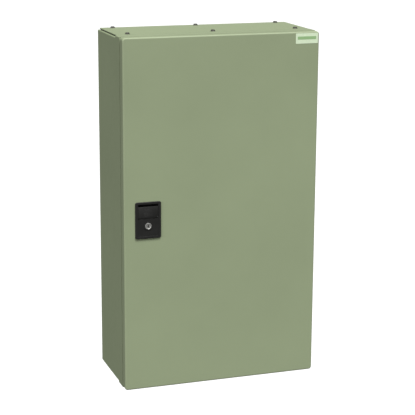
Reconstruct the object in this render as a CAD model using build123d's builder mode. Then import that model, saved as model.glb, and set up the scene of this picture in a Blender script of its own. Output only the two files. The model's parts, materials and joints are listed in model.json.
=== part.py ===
from build123d import *
import math
import os

# Wall-mounted automatic transfer switch: a sheet-steel enclosure with a hinged
# door, and inside it a four-pole motor-driven changeover switch, its controller
# and its control wiring.  Millimetres.  +Z is up and the door faces -Y.  The
# origin is the centre of the four wall-fixing holes, on the wall face.
# "depth" always means the distance in front of the wall face, so y = -depth.

os.makedirs("parts", exist_ok=True)

# ---------------------------------------------------------------- enclosure
width = 400.0
height = 700.0
depth = 180.0
sheet = 1.5
fold_radius = 2.0
door_depth = 18.0
door_gap = 3.0
door_corner_radius = 6.0
door_bend_radius = 3.0
flange_width = 19.5
lip_reach = 11.5
wall_hole_radius = 4.25
wall_hole_inset = 30.0

# ---------------------------------------------------------------- gland plates
gland_sheet = 1.5
gland_gasket_thickness = 2.0
gland_side_margin = 3.0
gland_rear_margin = 2.0
gland_front_depth = 130.0
gland_front_gap = 1.5
gland_screw_inset_x = 27.0
gland_screw_inset_y = 10.0
gland_opening_margin_x = 35.0
gland_opening_margin_y = 20.0
screw_radius = 2.45
screw_hole_clearance = 0.05
screw_washer_radius = 5.2
screw_washer_thickness = 1.0
screw_head_radius = 4.0
screw_head_height = 2.2
screw_length = 8.0
screw_slot_length = 4.6
screw_slot_width = 1.0
screw_slot_depth = 1.2
gland_hole_clearance = 0.3
gland_gasket_inset = 2.0

# ---------------------------------------------------------------- hinges
hinge_inset = 7.0
hinge_axis_behind_face = 10.0
hinge_end_distance = 110.0
hinge_length = 60.0
hinge_knuckle_radius = 4.5
hinge_pin_radius = 2.0
hinge_pin_short = 2.0
hinge_running_clearance = 0.06
hinge_split_gap = 0.5
hinge_leaf = 2.5
hinge_notch_clearance = 2.0
hinge_body_foot_in = 9.0
hinge_body_foot_out = 2.0
hinge_body_foot = 2.0
hinge_door_foot_in = 6.0
hinge_door_foot_out = 4.0
hinge_door_foot = 1.5

# ---------------------------------------------------------------- door fittings
gasket_width = 10.0
gasket_lip_clearance = 0.5
rail_edge_distance = 100.0
rail_crown = 24.0
rail_foot = 8.0
rail_rise = 10.0
rail_sheet = 1.2
rail_end_margin = 45.0
rail_hole_radius = 3.0
rail_hole_pitch = 25.0
label_width = 46.5
label_height = 20.0
label_thickness = 0.4
pocket_width = 150.0
pocket_height = 170.0
pocket_reach = 18.0
pocket_wall = 2.0
pocket_base_z = 40.0

# ---------------------------------------------------------------- lock
lock_edge_distance = 48.5
lock_z = -4.0
lock_width = 52.0
lock_height = 73.0
lock_proud = 2.5
lock_border = 4.0
lock_cup_rear = 166.0
lock_cutout_clearance = 0.5
barrel_radius = 6.5
barrel_clearance = 0.05
barrel_drop = 11.6
barrel_proud = 0.8
barrel_neck_radius = 4.0
flap_pivot_rise = 5.0
flap_behind_rim = 0.3
flap_groove_length = 16.0
flap_groove_width = 2.4
flap_groove_from_top = 4.5
flap_groove_depth = 0.5
recess_floor = 2.5
recess_side_wall = 1.5
face_sink = 0.6
cup_step = 0.5
barrel_collar = 2.2
key_slot_half_width = 0.9
key_slot_half_length = 3.6
flap_height = 22.0
flap_thickness = 3.6
flap_side_clearance = 0.4
flap_pin_radius = 1.0
cam_length = 39.0
cam_width = 14.0
cam_thickness = 3.0
cam_behind_flange = 1.0

# ---------------------------------------------------------------- mounting plate
plate_side_margin = 35.0
plate_end_margin = 45.0
plate_front = 32.0
plate_sheet = 2.0
stud_inset = 15.0
stud_radius = 4.0
stud_shoulder_radius = 7.0
stud_clearance = 0.5
nut_across_flats = 13.0
nut_height = 6.5
stud_end_past_nut = 4.0

# ---------------------------------------------------------------- control row
rail_below_plate_top = 55.0
din_height = 35.0
din_inner = 25.0
din_depth = 7.5
din_sheet = 1.0
din_left_margin = 47.0
din_right_margin = 25.0
breaker_width = 36.0
breaker_height = 84.0
breaker_shoulder_depth = 85.0
breaker_nose_depth = 103.0
breaker_nose_height = 45.0
breaker_from_rail_end = 25.0
breaker_pitch = 40.0
toggle_hub_radius = 6.5
toggle_reach = 14.0
toggle_thickness = 5.0
toggle_width = 17.0
toggle_clearance = 0.5
toggle_rest_angle = 40.0
toggle_taper = 0.7
toggle_slot_half = 12.0
breaker_screw_from_rail = 33.0
breaker_screw_radius = 3.2
breaker_screw_sink = 8.0
breaker_wire_depth = 62.0
breaker_wire_length = 6.0
breaker_groove_half = 0.4
breaker_groove_depth = 3.0
block_count = 12
block_width = 6.0
block_pitch = 6.2
block_height = 44.0
block_front_depth = 80.0
block_slope = 16.0
block_screw_sink = 6.0
block_screw_radius = 2.0
block_from_breakers = 59.0

# ---------------------------------------------------------------- wiring ducts
duct_width = 30.0
duct_depth = 50.0
duct_wall = 1.5
duct_slot = 5.0
duct_pitch = 10.0
duct_slot_rear = 12.0
duct_cover_skirt = 6.0
duct_cover_clearance = 0.1
duct_first_slot = 8.0
duct_side_margin = 2.0
duct_end_margin = 27.0
duct_below_rail = 90.0
duct_gap = 7.0
duct_right_margin = 5.0

# ---------------------------------------------------------------- controller
controller_from_drive_end = 31.0
controller_below_duct = 28.0
controller_width = 150.0
controller_height = 88.0
controller_rear = 40.0
controller_front = 78.0
controller_wall = 2.5
window_width = 64.0
window_height = 36.0
window_thickness = 1.5
button_radius = 5.0
button_clearance = 0.4
button_proud = 2.0
button_pitch = 17.0
button_first_from_side = 22.0
button_above_base = 16.0
button_travel_room = 6.0
button_rear_gap = 2.0
button_rim = 0.8
window_side_margin = 14.0
window_top_margin = 12.0
led_count = 4
led_pitch = 9.0
led_radius = 1.8
led_sink = 2.0
led_side_margin = 30.0
led_first_rise = 4.0
plug_width = 36.0
plug_height = 10.0
plug_first_from_side = 14.0
plug_pitch = 44.0
plug_from_rear = 8.0
plug_thickness = 18.0
plug_ways = 5
plug_way_first = 4.0
plug_way_pitch = 7.0
plug_screw_radius = 1.6
plug_screw_sink = 3.0
standoff_inset = 10.0
standoff_radius = 4.0

# ---------------------------------------------------------------- switch
switch_from_duct = 10.0
switch_below_controller = 44.0
pole_count = 4
pole_pitch = 36.0
pole_wall = 8.0
switch_end_wall = 6.0
switch_half_height = 60.0
switch_front = 118.0
shaft_depth = 85.0
chamber_radius = 27.0
rotor_radius = 10.0
rotor_wall_clearance = 0.4
rotor_end_clearance = 0.5
journal_radius = 6.0
journal_clearance = 0.05
bush_radius = 9.0
blade_radius = 24.0
blade_side_room = 6.0
blade_thickness = 6.0
contact_clearance = 0.4
bar_width = 18.0
bar_thickness = 3.0
bar_front_depth = 106.0
bar_rear_depth = 56.0
pad_near = 14.0
pad_far = 24.0
pad_width = 16.0
source_pad_rise = 9.0
load_pad_rise = 11.0
shaft_socket = 4.5
bolt_tail = 2.0
source_reach = 26.0
load_reach = 46.0
bolt_radius = 3.0
bolt_clearance = 0.2
bolt_head_flats = 10.0
bolt_head_height = 4.0
bolt_nut_height = 5.0
barrier_thickness = 1.6
barrier_reach = 36.0
barrier_rear = 45.0
cover_thickness = 2.5

# ---------------------------------------------------------------- motor drive
drive_width = 86.0
drive_wall = 2.5
drive_joint_depth = 100.0
gear_module = 1.5
gear_teeth = 36
pinion_teeth = 12
gear_backlash = 0.28
gear_centre_slack = 0.1
gear_start = 15.0
gear_face = 8.0
pinion_axis_behind = 20.0
motor_radius = 16.0
motor_start = 35.0
motor_length = 42.0
motor_shaft_radius = 2.5
motor_shaft_clearance = 0.05
indicator_start = 59.0
indicator_width = 14.0
indicator_radius = 18.0
hex_flats = 9.0
hex_length = 12.0
shaft_past_drive = 0.5
indicator_window_side = 2.0
indicator_window_half_height = 12.0
cradle_width = 4.0
cradle_from_start = 8.0
cradle_from_end = 12.0
gear_hole_count = 5

# ---------------------------------------------------------------- small items
handle_right_margin = 20.0
handle_radius = 5.0
handle_stand = 12.0
handle_above_shaft = 12.0
handle_rod = 92.0
handle_grip_radius = 8.5
handle_grip = 60.0
handle_socket_radius = 9.0
handle_socket = 24.0
handle_hex_clearance = 0.6
clip_width = 12.0
clip_wall = 2.5
clip_past_rod = 3.0
clip_mouth_narrowing = 1.0
upper_clip_drop = 25.0
lower_clip_rise = 15.0
earth_bar_above_plate_end = 60.0
earth_bar_from_switch = 63.0
earth_bar_length = 170.0
earth_bar_height = 15.0
earth_bar_thickness = 5.0
earth_bar_stand = 12.0
earth_screw_count = 10
earth_screw_margin = 27.0
earth_screw_radius = 2.5
earth_screw_head_radius = 4.4
earth_screw_head_height = 3.5
earth_screw_slot_half = 0.5
earth_screw_slot_depth = 1.2
earth_screw_slot_reach = 3.4
earth_post_inset = 12.0
stud_nut_rear = 11.5
stud_nut_front = 6.5
stud_nut_flats = 10.0
stud_pad = 1.5
stud_pad_rim = 3.0
lug_gap = 1.3
lug_radius = 6.5
lug_thickness = 1.6
lug_hole_clearance = 1.0
lug_neck = 8.0
earth_stud_above_base = 80.0
earth_stud_radius = 3.0
earth_stud_length = 18.5
door_stud_from_edge = 50.0
body_stud_depth = 120.0
lead_radius = 1.2
lead_bend = 2.5
lead_depth = 62.0
duct_entry = 6.0
earth_lead_radius = 2.2

# ---------------------------------------------------------------- derived
half_width = width / 2
half_height = height / 2
body_front = depth - door_depth - door_gap
door_rear = depth - door_depth
door_inner = depth - sheet
gland_step = gland_sheet + gland_gasket_thickness
gland_recess_front = gland_front_depth + gland_front_gap
top_wall_z = half_height - gland_step
hinge_x = half_width - hinge_inset
hinge_depth = depth - hinge_axis_behind_face
hinge_zs = (half_height - hinge_end_distance, -half_height + hinge_end_distance)
lock_x = -half_width + lock_edge_distance
barrel_z = lock_z - barrel_drop
flap_pivot_z = lock_z + flap_pivot_rise
flap_pivot_depth = depth + lock_proud - flap_behind_rim - flap_thickness / 2
cam_front = body_front - sheet - cam_behind_flange
cam_rear = cam_front - cam_thickness
rail_centre_x = half_width - rail_edge_distance
plate_width = width - 2 * plate_side_margin
plate_height = height - 2 * plate_end_margin
plate_right = plate_width / 2
plate_top = plate_height / 2
rail_z = plate_top - rail_below_plate_top
din_front = plate_front + din_depth
din_x_start = -plate_right + din_left_margin
din_x_end = plate_right - din_right_margin
breaker_first_x = din_x_start + breaker_from_rail_end
breaker_xs = (breaker_first_x, breaker_first_x + breaker_pitch)
block_first_x = breaker_xs[-1] + breaker_width / 2 + block_from_breakers
duct_left_x = -plate_right + duct_side_margin
duct_left_end = duct_left_x + duct_width
duct_left_half_length = plate_top - duct_end_margin
duct_top_z = rail_z - duct_below_rail
duct_top_end_z = duct_top_z + duct_width
duct_top_x_start = duct_left_end + duct_gap
duct_top_x_end = plate_right - duct_right_margin
switch_x = duct_left_end + switch_from_duct
controller_z = duct_top_z - controller_below_duct - controller_height
switch_z = controller_z - switch_below_controller - switch_half_height
pivot_depth = breaker_nose_depth - toggle_hub_radius + 0.5
pole_xs = [switch_x + switch_end_wall - pole_wall / 2 + pole_pitch * (i + 0.5) for i in range(pole_count)]
switch_end = pole_xs[-1] + pole_pitch / 2 - pole_wall / 2 + switch_end_wall
drive_end = switch_end + drive_width
controller_end_x = drive_end - controller_from_drive_end
controller_x = controller_end_x - controller_width
blade_width = pole_pitch - pole_wall - 2 * blade_side_room
gear_radius = gear_module * gear_teeth / 2
pinion_radius = gear_module * pinion_teeth / 2
centre_distance = gear_radius + pinion_radius + gear_centre_slack
pinion_rise = math.sqrt(centre_distance**2 - pinion_axis_behind**2)
pinion_depth = shaft_depth - pinion_axis_behind
pinion_z = switch_z + pinion_rise
gear_x = switch_end + gear_start
motor_x = switch_end + motor_start
indicator_x = switch_end + indicator_start
wall_hole_x = half_width - wall_hole_inset
wall_hole_z = half_height - wall_hole_inset
handle_x = plate_right - handle_right_margin
handle_top_z = switch_z + handle_above_shaft
earth_bar_z = -plate_top + earth_bar_above_plate_end
earth_bar_x = switch_x + earth_bar_from_switch
earth_stud_z = -half_height + earth_stud_above_base


# ---------------------------------------------------------------- helpers
def block(x0, x1, d0, d1, z0, z1, mode=Mode.ADD):
    """A box between two x values, two depths and two heights."""
    with Locations(((x0 + x1) / 2, -(d0 + d1) / 2, (z0 + z1) / 2)):
        Box(abs(x1 - x0), abs(d1 - d0), abs(z1 - z0), mode=mode)


def rod_x(x0, x1, at_depth, z, radius, mode=Mode.ADD):
    """A cylinder along X."""
    with Locations(Location(((x0 + x1) / 2, -at_depth, z), (0, 90, 0))):
        Cylinder(radius, abs(x1 - x0), mode=mode)


def rod_y(x, z, d0, d1, radius, mode=Mode.ADD):
    """A cylinder along Y, between two depths."""
    with Locations(Location((x, -(d0 + d1) / 2, z), (90, 0, 0))):
        Cylinder(radius, abs(d1 - d0), mode=mode)


def rod_z(x, at_depth, z0, z1, radius, mode=Mode.ADD):
    """A cylinder along Z."""
    with Locations((x, -at_depth, (z0 + z1) / 2)):
        Cylinder(radius, abs(z1 - z0), mode=mode)


def hex_y(x, z, d0, d1, flats, mode=Mode.ADD):
    """A hexagonal prism along Y, between two depths."""
    with BuildSketch(Plane.XZ.offset(d0)) as outline:
        with Locations((x, z)):
            RegularPolygon(flats / 2, 6, major_radius=False)
    extrude(outline.sketch, amount=d1 - d0, mode=mode)


def ring_y(half_x, half_z, inner_x, inner_z, d0, d1, corner, mode=Mode.ADD):
    """A rectangular ring facing the front, between two depths."""
    with BuildSketch(Plane.XZ.offset(d0)) as outline:
        RectangleRounded(2 * half_x, 2 * half_z, corner)
        Rectangle(2 * inner_x, 2 * inner_z, mode=Mode.SUBTRACT)
    extrude(outline.sketch, amount=d1 - d0, mode=mode)


def gear_outline(teeth, first_angle):
    """The tooth outline of a spur gear about the sketch origin, as polygon points."""
    pitch_radius = gear_module * teeth / 2
    tip = pitch_radius + 0.8 * gear_module
    root = pitch_radius - 1.1 * gear_module
    flank = math.tan(math.radians(20))
    pitch_half = math.pi * gear_module / 4 - gear_backlash
    points = []
    for tooth in range(teeth):
        middle = first_angle + 360 * tooth / teeth
        for radius, side in ((root, -1), (tip, -1), (tip, 1), (root, 1)):
            half = pitch_half - (radius - pitch_radius) * flank
            turn = math.radians(middle) + side * half / radius
            points.append((radius * math.cos(turn), radius * math.sin(turn)))
    return points


def stud_and_nut(x, z, start, end, radius, flats, nut_from, nut_to):
    """A stud along Y with its nut, as two separate solids."""
    rod_y(x, z, start, end, radius)
    hex_y(x, z, nut_from, nut_to, flats)


# ================================================================ enclosure
def wrap_section(inset, front):
    """Half-open side section of the folded body: full height at the front, stepped for glands."""
    step_z = top_wall_z - inset
    fold_z = half_height - inset
    step_depth = gland_recess_front + inset
    return [
        (0, -step_z),
        (-step_depth, -step_z),
        (-step_depth, -fold_z),
        (-front, -fold_z),
        (-front, fold_z),
        (-step_depth, fold_z),
        (-step_depth, step_z),
        (0, step_z),
    ]


gland_screw_xs = (-half_width + gland_screw_inset_x, 0, half_width - gland_screw_inset_x)
gland_screw_depths = (gland_rear_margin + gland_screw_inset_y, gland_front_depth - gland_screw_inset_y)
gland_opening_x = half_width - gland_opening_margin_x
gland_opening_rear = gland_rear_margin + gland_opening_margin_y
gland_opening_front = gland_front_depth - gland_opening_margin_y
gland_spots = [(x, d) for x in gland_screw_xs for d in gland_screw_depths]

with BuildPart() as body_wrap:
    with BuildSketch(Plane.YZ.offset(-half_width)):
        with BuildLine():
            Polyline(wrap_section(0, body_front), close=True)
        make_face()
    extrude(amount=width)
    fillet(body_wrap.edges().filter_by(Axis.Y), fold_radius)
    with BuildSketch(Plane.YZ.offset(-half_width + sheet)):
        with BuildLine():
            Polyline(wrap_section(sheet, body_front - sheet), close=True)
        make_face()
    extrude(amount=width - 2 * sheet, mode=Mode.SUBTRACT)
    inner_half_x = half_width - flange_width
    inner_half_z = half_height - flange_width
    block(-inner_half_x, inner_half_x, body_front - 2 * sheet, body_front + 1, -inner_half_z, inner_half_z,
          mode=Mode.SUBTRACT)
    ring_y(inner_half_x + sheet, inner_half_z + sheet, inner_half_x, inner_half_z,
           body_front, body_front + lip_reach, sheet)
    for side in (1, -1):
        block(-gland_opening_x, gland_opening_x, gland_opening_rear, gland_opening_front,
              side * (top_wall_z - 2 * sheet), side * (top_wall_z + 1), mode=Mode.SUBTRACT)
        for x, d in gland_spots:
            rod_z(x, d, side * (top_wall_z - 2 * sheet), side * (top_wall_z + 1),
                  screw_radius + screw_hole_clearance, mode=Mode.SUBTRACT)
body_wrap.part.label = "body_wrap"
export_step(body_wrap.part, "parts/body_wrap.step")

stud_x = plate_width / 2 - stud_inset
stud_z = plate_height / 2 - stud_inset

with BuildPart() as rear_panel:
    block(-half_width + sheet, half_width - sheet, 0, sheet, -top_wall_z + sheet, top_wall_z - sheet)
    with BuildSketch(Plane.XZ):
        with GridLocations(2 * wall_hole_x, 2 * wall_hole_z, 2, 2):
            Circle(wall_hole_radius)
    extrude(amount=sheet, mode=Mode.SUBTRACT)
rear_panel.part.label = "rear_panel"
export_step(rear_panel.part, "parts/rear_panel.step")

with BuildPart() as gland_gaskets:
    for side in (1, -1):
        block(-half_width + gland_side_margin + gland_gasket_inset,
              half_width - gland_side_margin - gland_gasket_inset,
              gland_rear_margin + gland_gasket_inset, gland_front_depth - gland_gasket_inset,
              side * top_wall_z, side * (top_wall_z + gland_gasket_thickness))
        block(-gland_opening_x, gland_opening_x, gland_opening_rear, gland_opening_front,
              side * (top_wall_z - 1), side * (top_wall_z + gland_gasket_thickness + 1), mode=Mode.SUBTRACT)
        for x, d in gland_spots:
            rod_z(x, d, side * (top_wall_z - 1), side * (top_wall_z + gland_gasket_thickness + 1),
                  screw_radius + gland_hole_clearance, mode=Mode.SUBTRACT)
gland_gaskets.part.label = "gland_gaskets"
export_step(gland_gaskets.part, "parts/gland_gaskets.step")

with BuildPart() as gland_plates:
    for side in (1, -1):
        block(-half_width + gland_side_margin, half_width - gland_side_margin,
              gland_rear_margin, gland_front_depth, side * (half_height - gland_sheet), side * half_height)
    fillet(gland_plates.edges().filter_by(Axis.Z), fold_radius)
    for side in (1, -1):
        for x, d in gland_spots:
            rod_z(x, d, side * (half_height - gland_sheet - 1), side * (half_height + 1),
                  screw_radius + gland_hole_clearance, mode=Mode.SUBTRACT)
gland_plates.part.label = "gland_plates"
export_step(gland_plates.part, "parts/gland_plates.step")

with BuildPart() as gland_screws:
    screw_places = [Location((x, -d, half_height)) for x, d in gland_spots]
    screw_places += [Location((x, -d, -half_height), (180, 0, 0)) for x, d in gland_spots]
    upward = (Align.CENTER, Align.CENTER, Align.MIN)
    downward = (Align.CENTER, Align.CENTER, Align.MAX)
    head_top = screw_washer_thickness + screw_head_height
    for place in screw_places:
        with Locations(place):
            Cylinder(screw_radius, screw_length, align=downward)
            Cylinder(screw_washer_radius, screw_washer_thickness, align=upward)
            Cylinder(screw_head_radius, head_top, align=upward)
            with Locations((0, 0, head_top)):
                Box(screw_slot_length, screw_slot_width, 2 * screw_slot_depth, mode=Mode.SUBTRACT)
                Box(screw_slot_width, screw_slot_length, 2 * screw_slot_depth, mode=Mode.SUBTRACT)
gland_screws.part.label = "gland_screws"
export_step(gland_screws.part, "parts/gland_screws.step")

# ================================================================ hinges
with BuildPart() as hinge_body_leaves:
    for z in hinge_zs:
        low = z - hinge_length / 2
        high = z - hinge_split_gap / 2
        block(hinge_x - hinge_body_foot_in, hinge_x + hinge_body_foot_out, body_front,
              body_front + hinge_body_foot,
              low, high)
        block(hinge_x - hinge_leaf / 2, hinge_x + hinge_leaf / 2, body_front, hinge_depth, low, high)
        rod_z(hinge_x, hinge_depth, low, high, hinge_knuckle_radius)
        rod_z(hinge_x, hinge_depth, low, high, hinge_pin_radius, mode=Mode.SUBTRACT)
hinge_body_leaves.part.label = "hinge_body_leaves"
export_step(hinge_body_leaves.part, "parts/hinge_body_leaves.step")

with BuildPart() as hinge_pins:
    for z in hinge_zs:
        rod_z(hinge_x, hinge_depth, z - hinge_length / 2, z + hinge_length / 2 - hinge_pin_short,
              hinge_pin_radius)
hinge_pins.part.label = "hinge_pins"
export_step(hinge_pins.part, "parts/hinge_pins.step")

with BuildPart() as hinge_door_leaves:
    for z in hinge_zs:
        low = z + hinge_split_gap / 2
        high = z + hinge_length / 2
        block(hinge_x - hinge_door_foot_in, hinge_x + hinge_door_foot_out,
              door_inner - hinge_door_foot, door_inner,
              low, high)
        block(hinge_x - hinge_leaf / 2, hinge_x + hinge_leaf / 2, hinge_depth, door_inner, low, high)
        rod_z(hinge_x, hinge_depth, low, high, hinge_knuckle_radius)
        rod_z(hinge_x, hinge_depth, low, high, hinge_pin_radius + hinge_running_clearance,
              mode=Mode.SUBTRACT)
hinge_door_leaves.part.label = "hinge_door_leaves"
export_step(hinge_door_leaves.part, "parts/hinge_door_leaves.step")

# ================================================================ door
cup_half_x = lock_width / 2 - lock_border
cup_half_z = lock_height / 2 - lock_border

with BuildPart() as door_panel:
    with BuildSketch(Plane.XZ.offset(door_rear)):
        RectangleRounded(width, height, door_corner_radius)
    extrude(amount=door_depth)
    fillet(door_panel.edges().group_by(Axis.Y)[0], door_bend_radius)
    with BuildSketch(Plane.XZ.offset(door_rear)):
        RectangleRounded(width - 2 * sheet, height - 2 * sheet, door_corner_radius - sheet)
    extrude(amount=door_depth - sheet, mode=Mode.SUBTRACT)
    inner_fold = door_panel.edges().filter_by_position(Axis.Y, -door_inner - 0.01, -door_inner + 0.01)
    fillet(inner_fold, door_bend_radius - sheet)
    block(lock_x - cup_half_x - lock_cutout_clearance, lock_x + cup_half_x + lock_cutout_clearance,
          door_inner - 1, depth + 1,
          lock_z - cup_half_z - lock_cutout_clearance, lock_z + cup_half_z + lock_cutout_clearance,
          mode=Mode.SUBTRACT)
    for z in hinge_zs:
        reach = hinge_length / 2 + hinge_notch_clearance
        block(half_width - 2 * sheet, half_width + 1, door_rear - 1, hinge_depth + hinge_knuckle_radius + 1,
              z - reach, z + reach, mode=Mode.SUBTRACT)
door_panel.part.label = "door_panel"
export_step(door_panel.part, "parts/door_panel.step")

lip_middle = flange_width - sheet / 2

with BuildPart() as door_gasket:
    ring_y(half_width - lip_middle + gasket_width / 2, half_height - lip_middle + gasket_width / 2,
           half_width - lip_middle - gasket_width / 2, half_height - lip_middle - gasket_width / 2,
           body_front + lip_reach + gasket_lip_clearance, door_inner, door_corner_radius)
door_gasket.part.label = "door_gasket"
export_step(door_gasket.part, "parts/door_gasket.step")

with BuildPart() as door_rails:
    rail_low = -half_height + rail_end_margin
    rail_high = half_height - rail_end_margin
    rail_front = door_inner
    rail_rear = door_inner - rail_rise
    hole_count = int((rail_high - rail_low) / rail_hole_pitch) - 1
    for centre in (-rail_centre_x, rail_centre_x):
        outer = rail_crown / 2
        block(centre - outer - rail_foot, centre + outer + rail_foot, rail_front - rail_sheet, rail_front,
              rail_low, rail_high)
        block(centre - outer, centre + outer, rail_rear, rail_front, rail_low, rail_high)
        block(centre - outer + rail_sheet, centre + outer - rail_sheet, rail_rear + rail_sheet, rail_front,
              rail_low, rail_high, mode=Mode.SUBTRACT)
        with BuildSketch(Plane.XZ.offset(rail_rear)):
            with Locations((centre, (rail_low + rail_high) / 2)):
                with GridLocations(1, rail_hole_pitch, 1, hole_count):
                    Circle(rail_hole_radius)
        extrude(amount=rail_sheet, mode=Mode.SUBTRACT)
door_rails.part.label = "door_rails"
export_step(door_rails.part, "parts/door_rails.step")

with BuildPart() as door_label:
    label_right = half_width - door_bend_radius
    label_top = half_height - door_bend_radius
    with BuildSketch(Plane.XZ.offset(depth)):
        with Locations((label_right - label_width / 2, label_top - label_height / 2)):
            RectangleRounded(label_width, label_height, 1)
    extrude(amount=label_thickness)
door_label.part.label = "door_label"
export_step(door_label.part, "parts/door_label.step")

with BuildPart() as document_pocket:
    half_pocket = pocket_width / 2
    pocket_top = pocket_base_z + pocket_height
    block(-half_pocket, half_pocket, door_inner - pocket_reach, door_inner, pocket_base_z, pocket_top)
    block(-half_pocket + pocket_wall, half_pocket - pocket_wall,
          door_inner - pocket_reach + pocket_wall, door_inner - pocket_wall,
          pocket_base_z + pocket_wall, pocket_top + 1, mode=Mode.SUBTRACT)
    with BuildSketch(Plane.XZ.offset(door_inner - pocket_reach - 1)):
        with Locations((0, pocket_top)):
            SlotOverall(pocket_width * 0.5, pocket_height * 0.3)
    extrude(amount=pocket_wall + 2, mode=Mode.SUBTRACT)
document_pocket.part.label = "document_pocket"
export_step(document_pocket.part, "parts/document_pocket.step")

# ================================================================ lock
pocket_bottom = flap_pivot_z - flap_thickness / 2 - flap_side_clearance
recess_top = lock_z + cup_half_z - cup_step
recess_half_x = cup_half_x - recess_side_wall
pin_half = cup_half_x - cup_step

with BuildPart() as lock_frame:
    with BuildSketch(Plane.XZ.offset(depth)):
        with Locations((lock_x, lock_z)):
            RectangleRounded(lock_width, lock_height, lock_border)
    extrude(amount=lock_proud)
    fillet(lock_frame.edges().group_by(Axis.Y)[0], 0.8)
    block(lock_x - cup_half_x, lock_x + cup_half_x, lock_cup_rear, depth,
          lock_z - cup_half_z, lock_z + cup_half_z)
    block(lock_x - recess_half_x, lock_x + recess_half_x, lock_cup_rear + recess_floor,
          depth + lock_proud + 1,
          pocket_bottom, recess_top, mode=Mode.SUBTRACT)
    block(lock_x - recess_half_x, lock_x + recess_half_x, depth + lock_proud - face_sink,
          depth + lock_proud + 1,
          lock_z - cup_half_z + cup_step, pocket_bottom, mode=Mode.SUBTRACT)
    rod_y(lock_x, barrel_z, depth, depth + lock_proud, barrel_radius + barrel_collar)
    rod_y(lock_x, barrel_z, lock_cup_rear - 1, depth + lock_proud + 1, barrel_radius + barrel_clearance,
          mode=Mode.SUBTRACT)
    rod_x(lock_x - pin_half, lock_x + pin_half, flap_pivot_depth, flap_pivot_z, flap_pin_radius,
          mode=Mode.SUBTRACT)
lock_frame.part.label = "lock_frame"
export_step(lock_frame.part, "parts/lock_frame.step")

with BuildPart() as lock_flap_pin:
    rod_x(lock_x - pin_half, lock_x + pin_half, flap_pivot_depth, flap_pivot_z, flap_pin_radius)
lock_flap_pin.part.label = "lock_flap_pin"
export_step(lock_flap_pin.part, "parts/lock_flap_pin.step")

with BuildPart() as lock_flap:
    flap_half = recess_half_x - flap_side_clearance
    block(lock_x - flap_half, lock_x + flap_half,
          flap_pivot_depth - flap_thickness / 2, flap_pivot_depth + flap_thickness / 2,
          flap_pivot_z, flap_pivot_z + flap_height)
    top_edges = lock_flap.edges().filter_by(Axis.X).group_by(Axis.Z)[-1]
    fillet(top_edges, 1.2)
    rod_x(lock_x - flap_half, lock_x + flap_half, flap_pivot_depth, flap_pivot_z, flap_thickness / 2)
    with BuildSketch(Plane.XZ.offset(flap_pivot_depth + flap_thickness / 2)):
        with Locations((lock_x, flap_pivot_z + flap_height - flap_groove_from_top)):
            SlotOverall(flap_groove_length, flap_groove_width)
    extrude(amount=-flap_groove_depth, mode=Mode.SUBTRACT)
    rod_x(lock_x - flap_half - 1, lock_x + flap_half + 1, flap_pivot_depth, flap_pivot_z,
          flap_pin_radius + barrel_clearance, mode=Mode.SUBTRACT)
lock_flap.part.label = "lock_flap"
export_step(lock_flap.part, "parts/lock_flap.step")

with BuildPart() as key_barrel:
    rod_y(lock_x, barrel_z, lock_cup_rear, depth + lock_proud + barrel_proud, barrel_radius)
    fillet(key_barrel.edges().group_by(Axis.Y)[0], 0.5)
    rod_y(lock_x, barrel_z, cam_rear - 3, lock_cup_rear, barrel_neck_radius)
    block(lock_x - key_slot_half_width, lock_x + key_slot_half_width, depth,
          depth + lock_proud + barrel_proud + 1,
          barrel_z - key_slot_half_length, barrel_z + key_slot_half_length, mode=Mode.SUBTRACT)
key_barrel.part.label = "key_barrel"
export_step(key_barrel.part, "parts/key_barrel.step")

with BuildPart() as lock_cam:
    with BuildSketch(Plane.XZ.offset(cam_rear)):
        with BuildLine():
            tip_z = barrel_z - cam_length
            left = Line((lock_x - cam_width / 2, barrel_z), (lock_x - cam_width / 2 + 2, tip_z + 4))
            tip = ThreePointArc(left @ 1, (lock_x, tip_z), (lock_x + cam_width / 2 - 2, tip_z + 4))
            right = Line(tip @ 1, (lock_x + cam_width / 2, barrel_z))
            ThreePointArc(right @ 1, (lock_x, barrel_z + cam_width / 2), left @ 0)
        make_face()
        with Locations((lock_x, barrel_z)):
            Circle(barrel_neck_radius, mode=Mode.SUBTRACT)
    extrude(amount=cam_thickness)
lock_cam.part.label = "lock_cam"
export_step(lock_cam.part, "parts/lock_cam.step")

# ================================================================ mounting plate
with BuildPart() as plate_studs:
    for x in (-stud_x, stud_x):
        for z in (-stud_z, stud_z):
            rod_y(x, z, sheet, plate_front - plate_sheet, stud_shoulder_radius)
            rod_y(x, z, sheet, plate_front + nut_height + stud_end_past_nut, stud_radius)
plate_studs.part.label = "plate_studs"
export_step(plate_studs.part, "parts/plate_studs.step")

with BuildPart() as mounting_plate:
    block(-plate_width / 2, plate_width / 2, plate_front - plate_sheet, plate_front,
          -plate_height / 2, plate_height / 2)
    fillet(mounting_plate.edges().filter_by(Axis.Y), 4)
    for x in (-stud_x, stud_x):
        for z in (-stud_z, stud_z):
            rod_y(x, z, plate_front - plate_sheet - 1, plate_front + 1, stud_radius + stud_clearance,
                  mode=Mode.SUBTRACT)
mounting_plate.part.label = "mounting_plate"
export_step(mounting_plate.part, "parts/mounting_plate.step")

with BuildPart() as plate_nuts:
    for x in (-stud_x, stud_x):
        for z in (-stud_z, stud_z):
            hex_y(x, z, plate_front, plate_front + nut_height, nut_across_flats)
            rod_y(x, z, plate_front - 1, plate_front + nut_height + 1, stud_radius, mode=Mode.SUBTRACT)
plate_nuts.part.label = "plate_nuts"
export_step(plate_nuts.part, "parts/plate_nuts.step")

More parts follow.
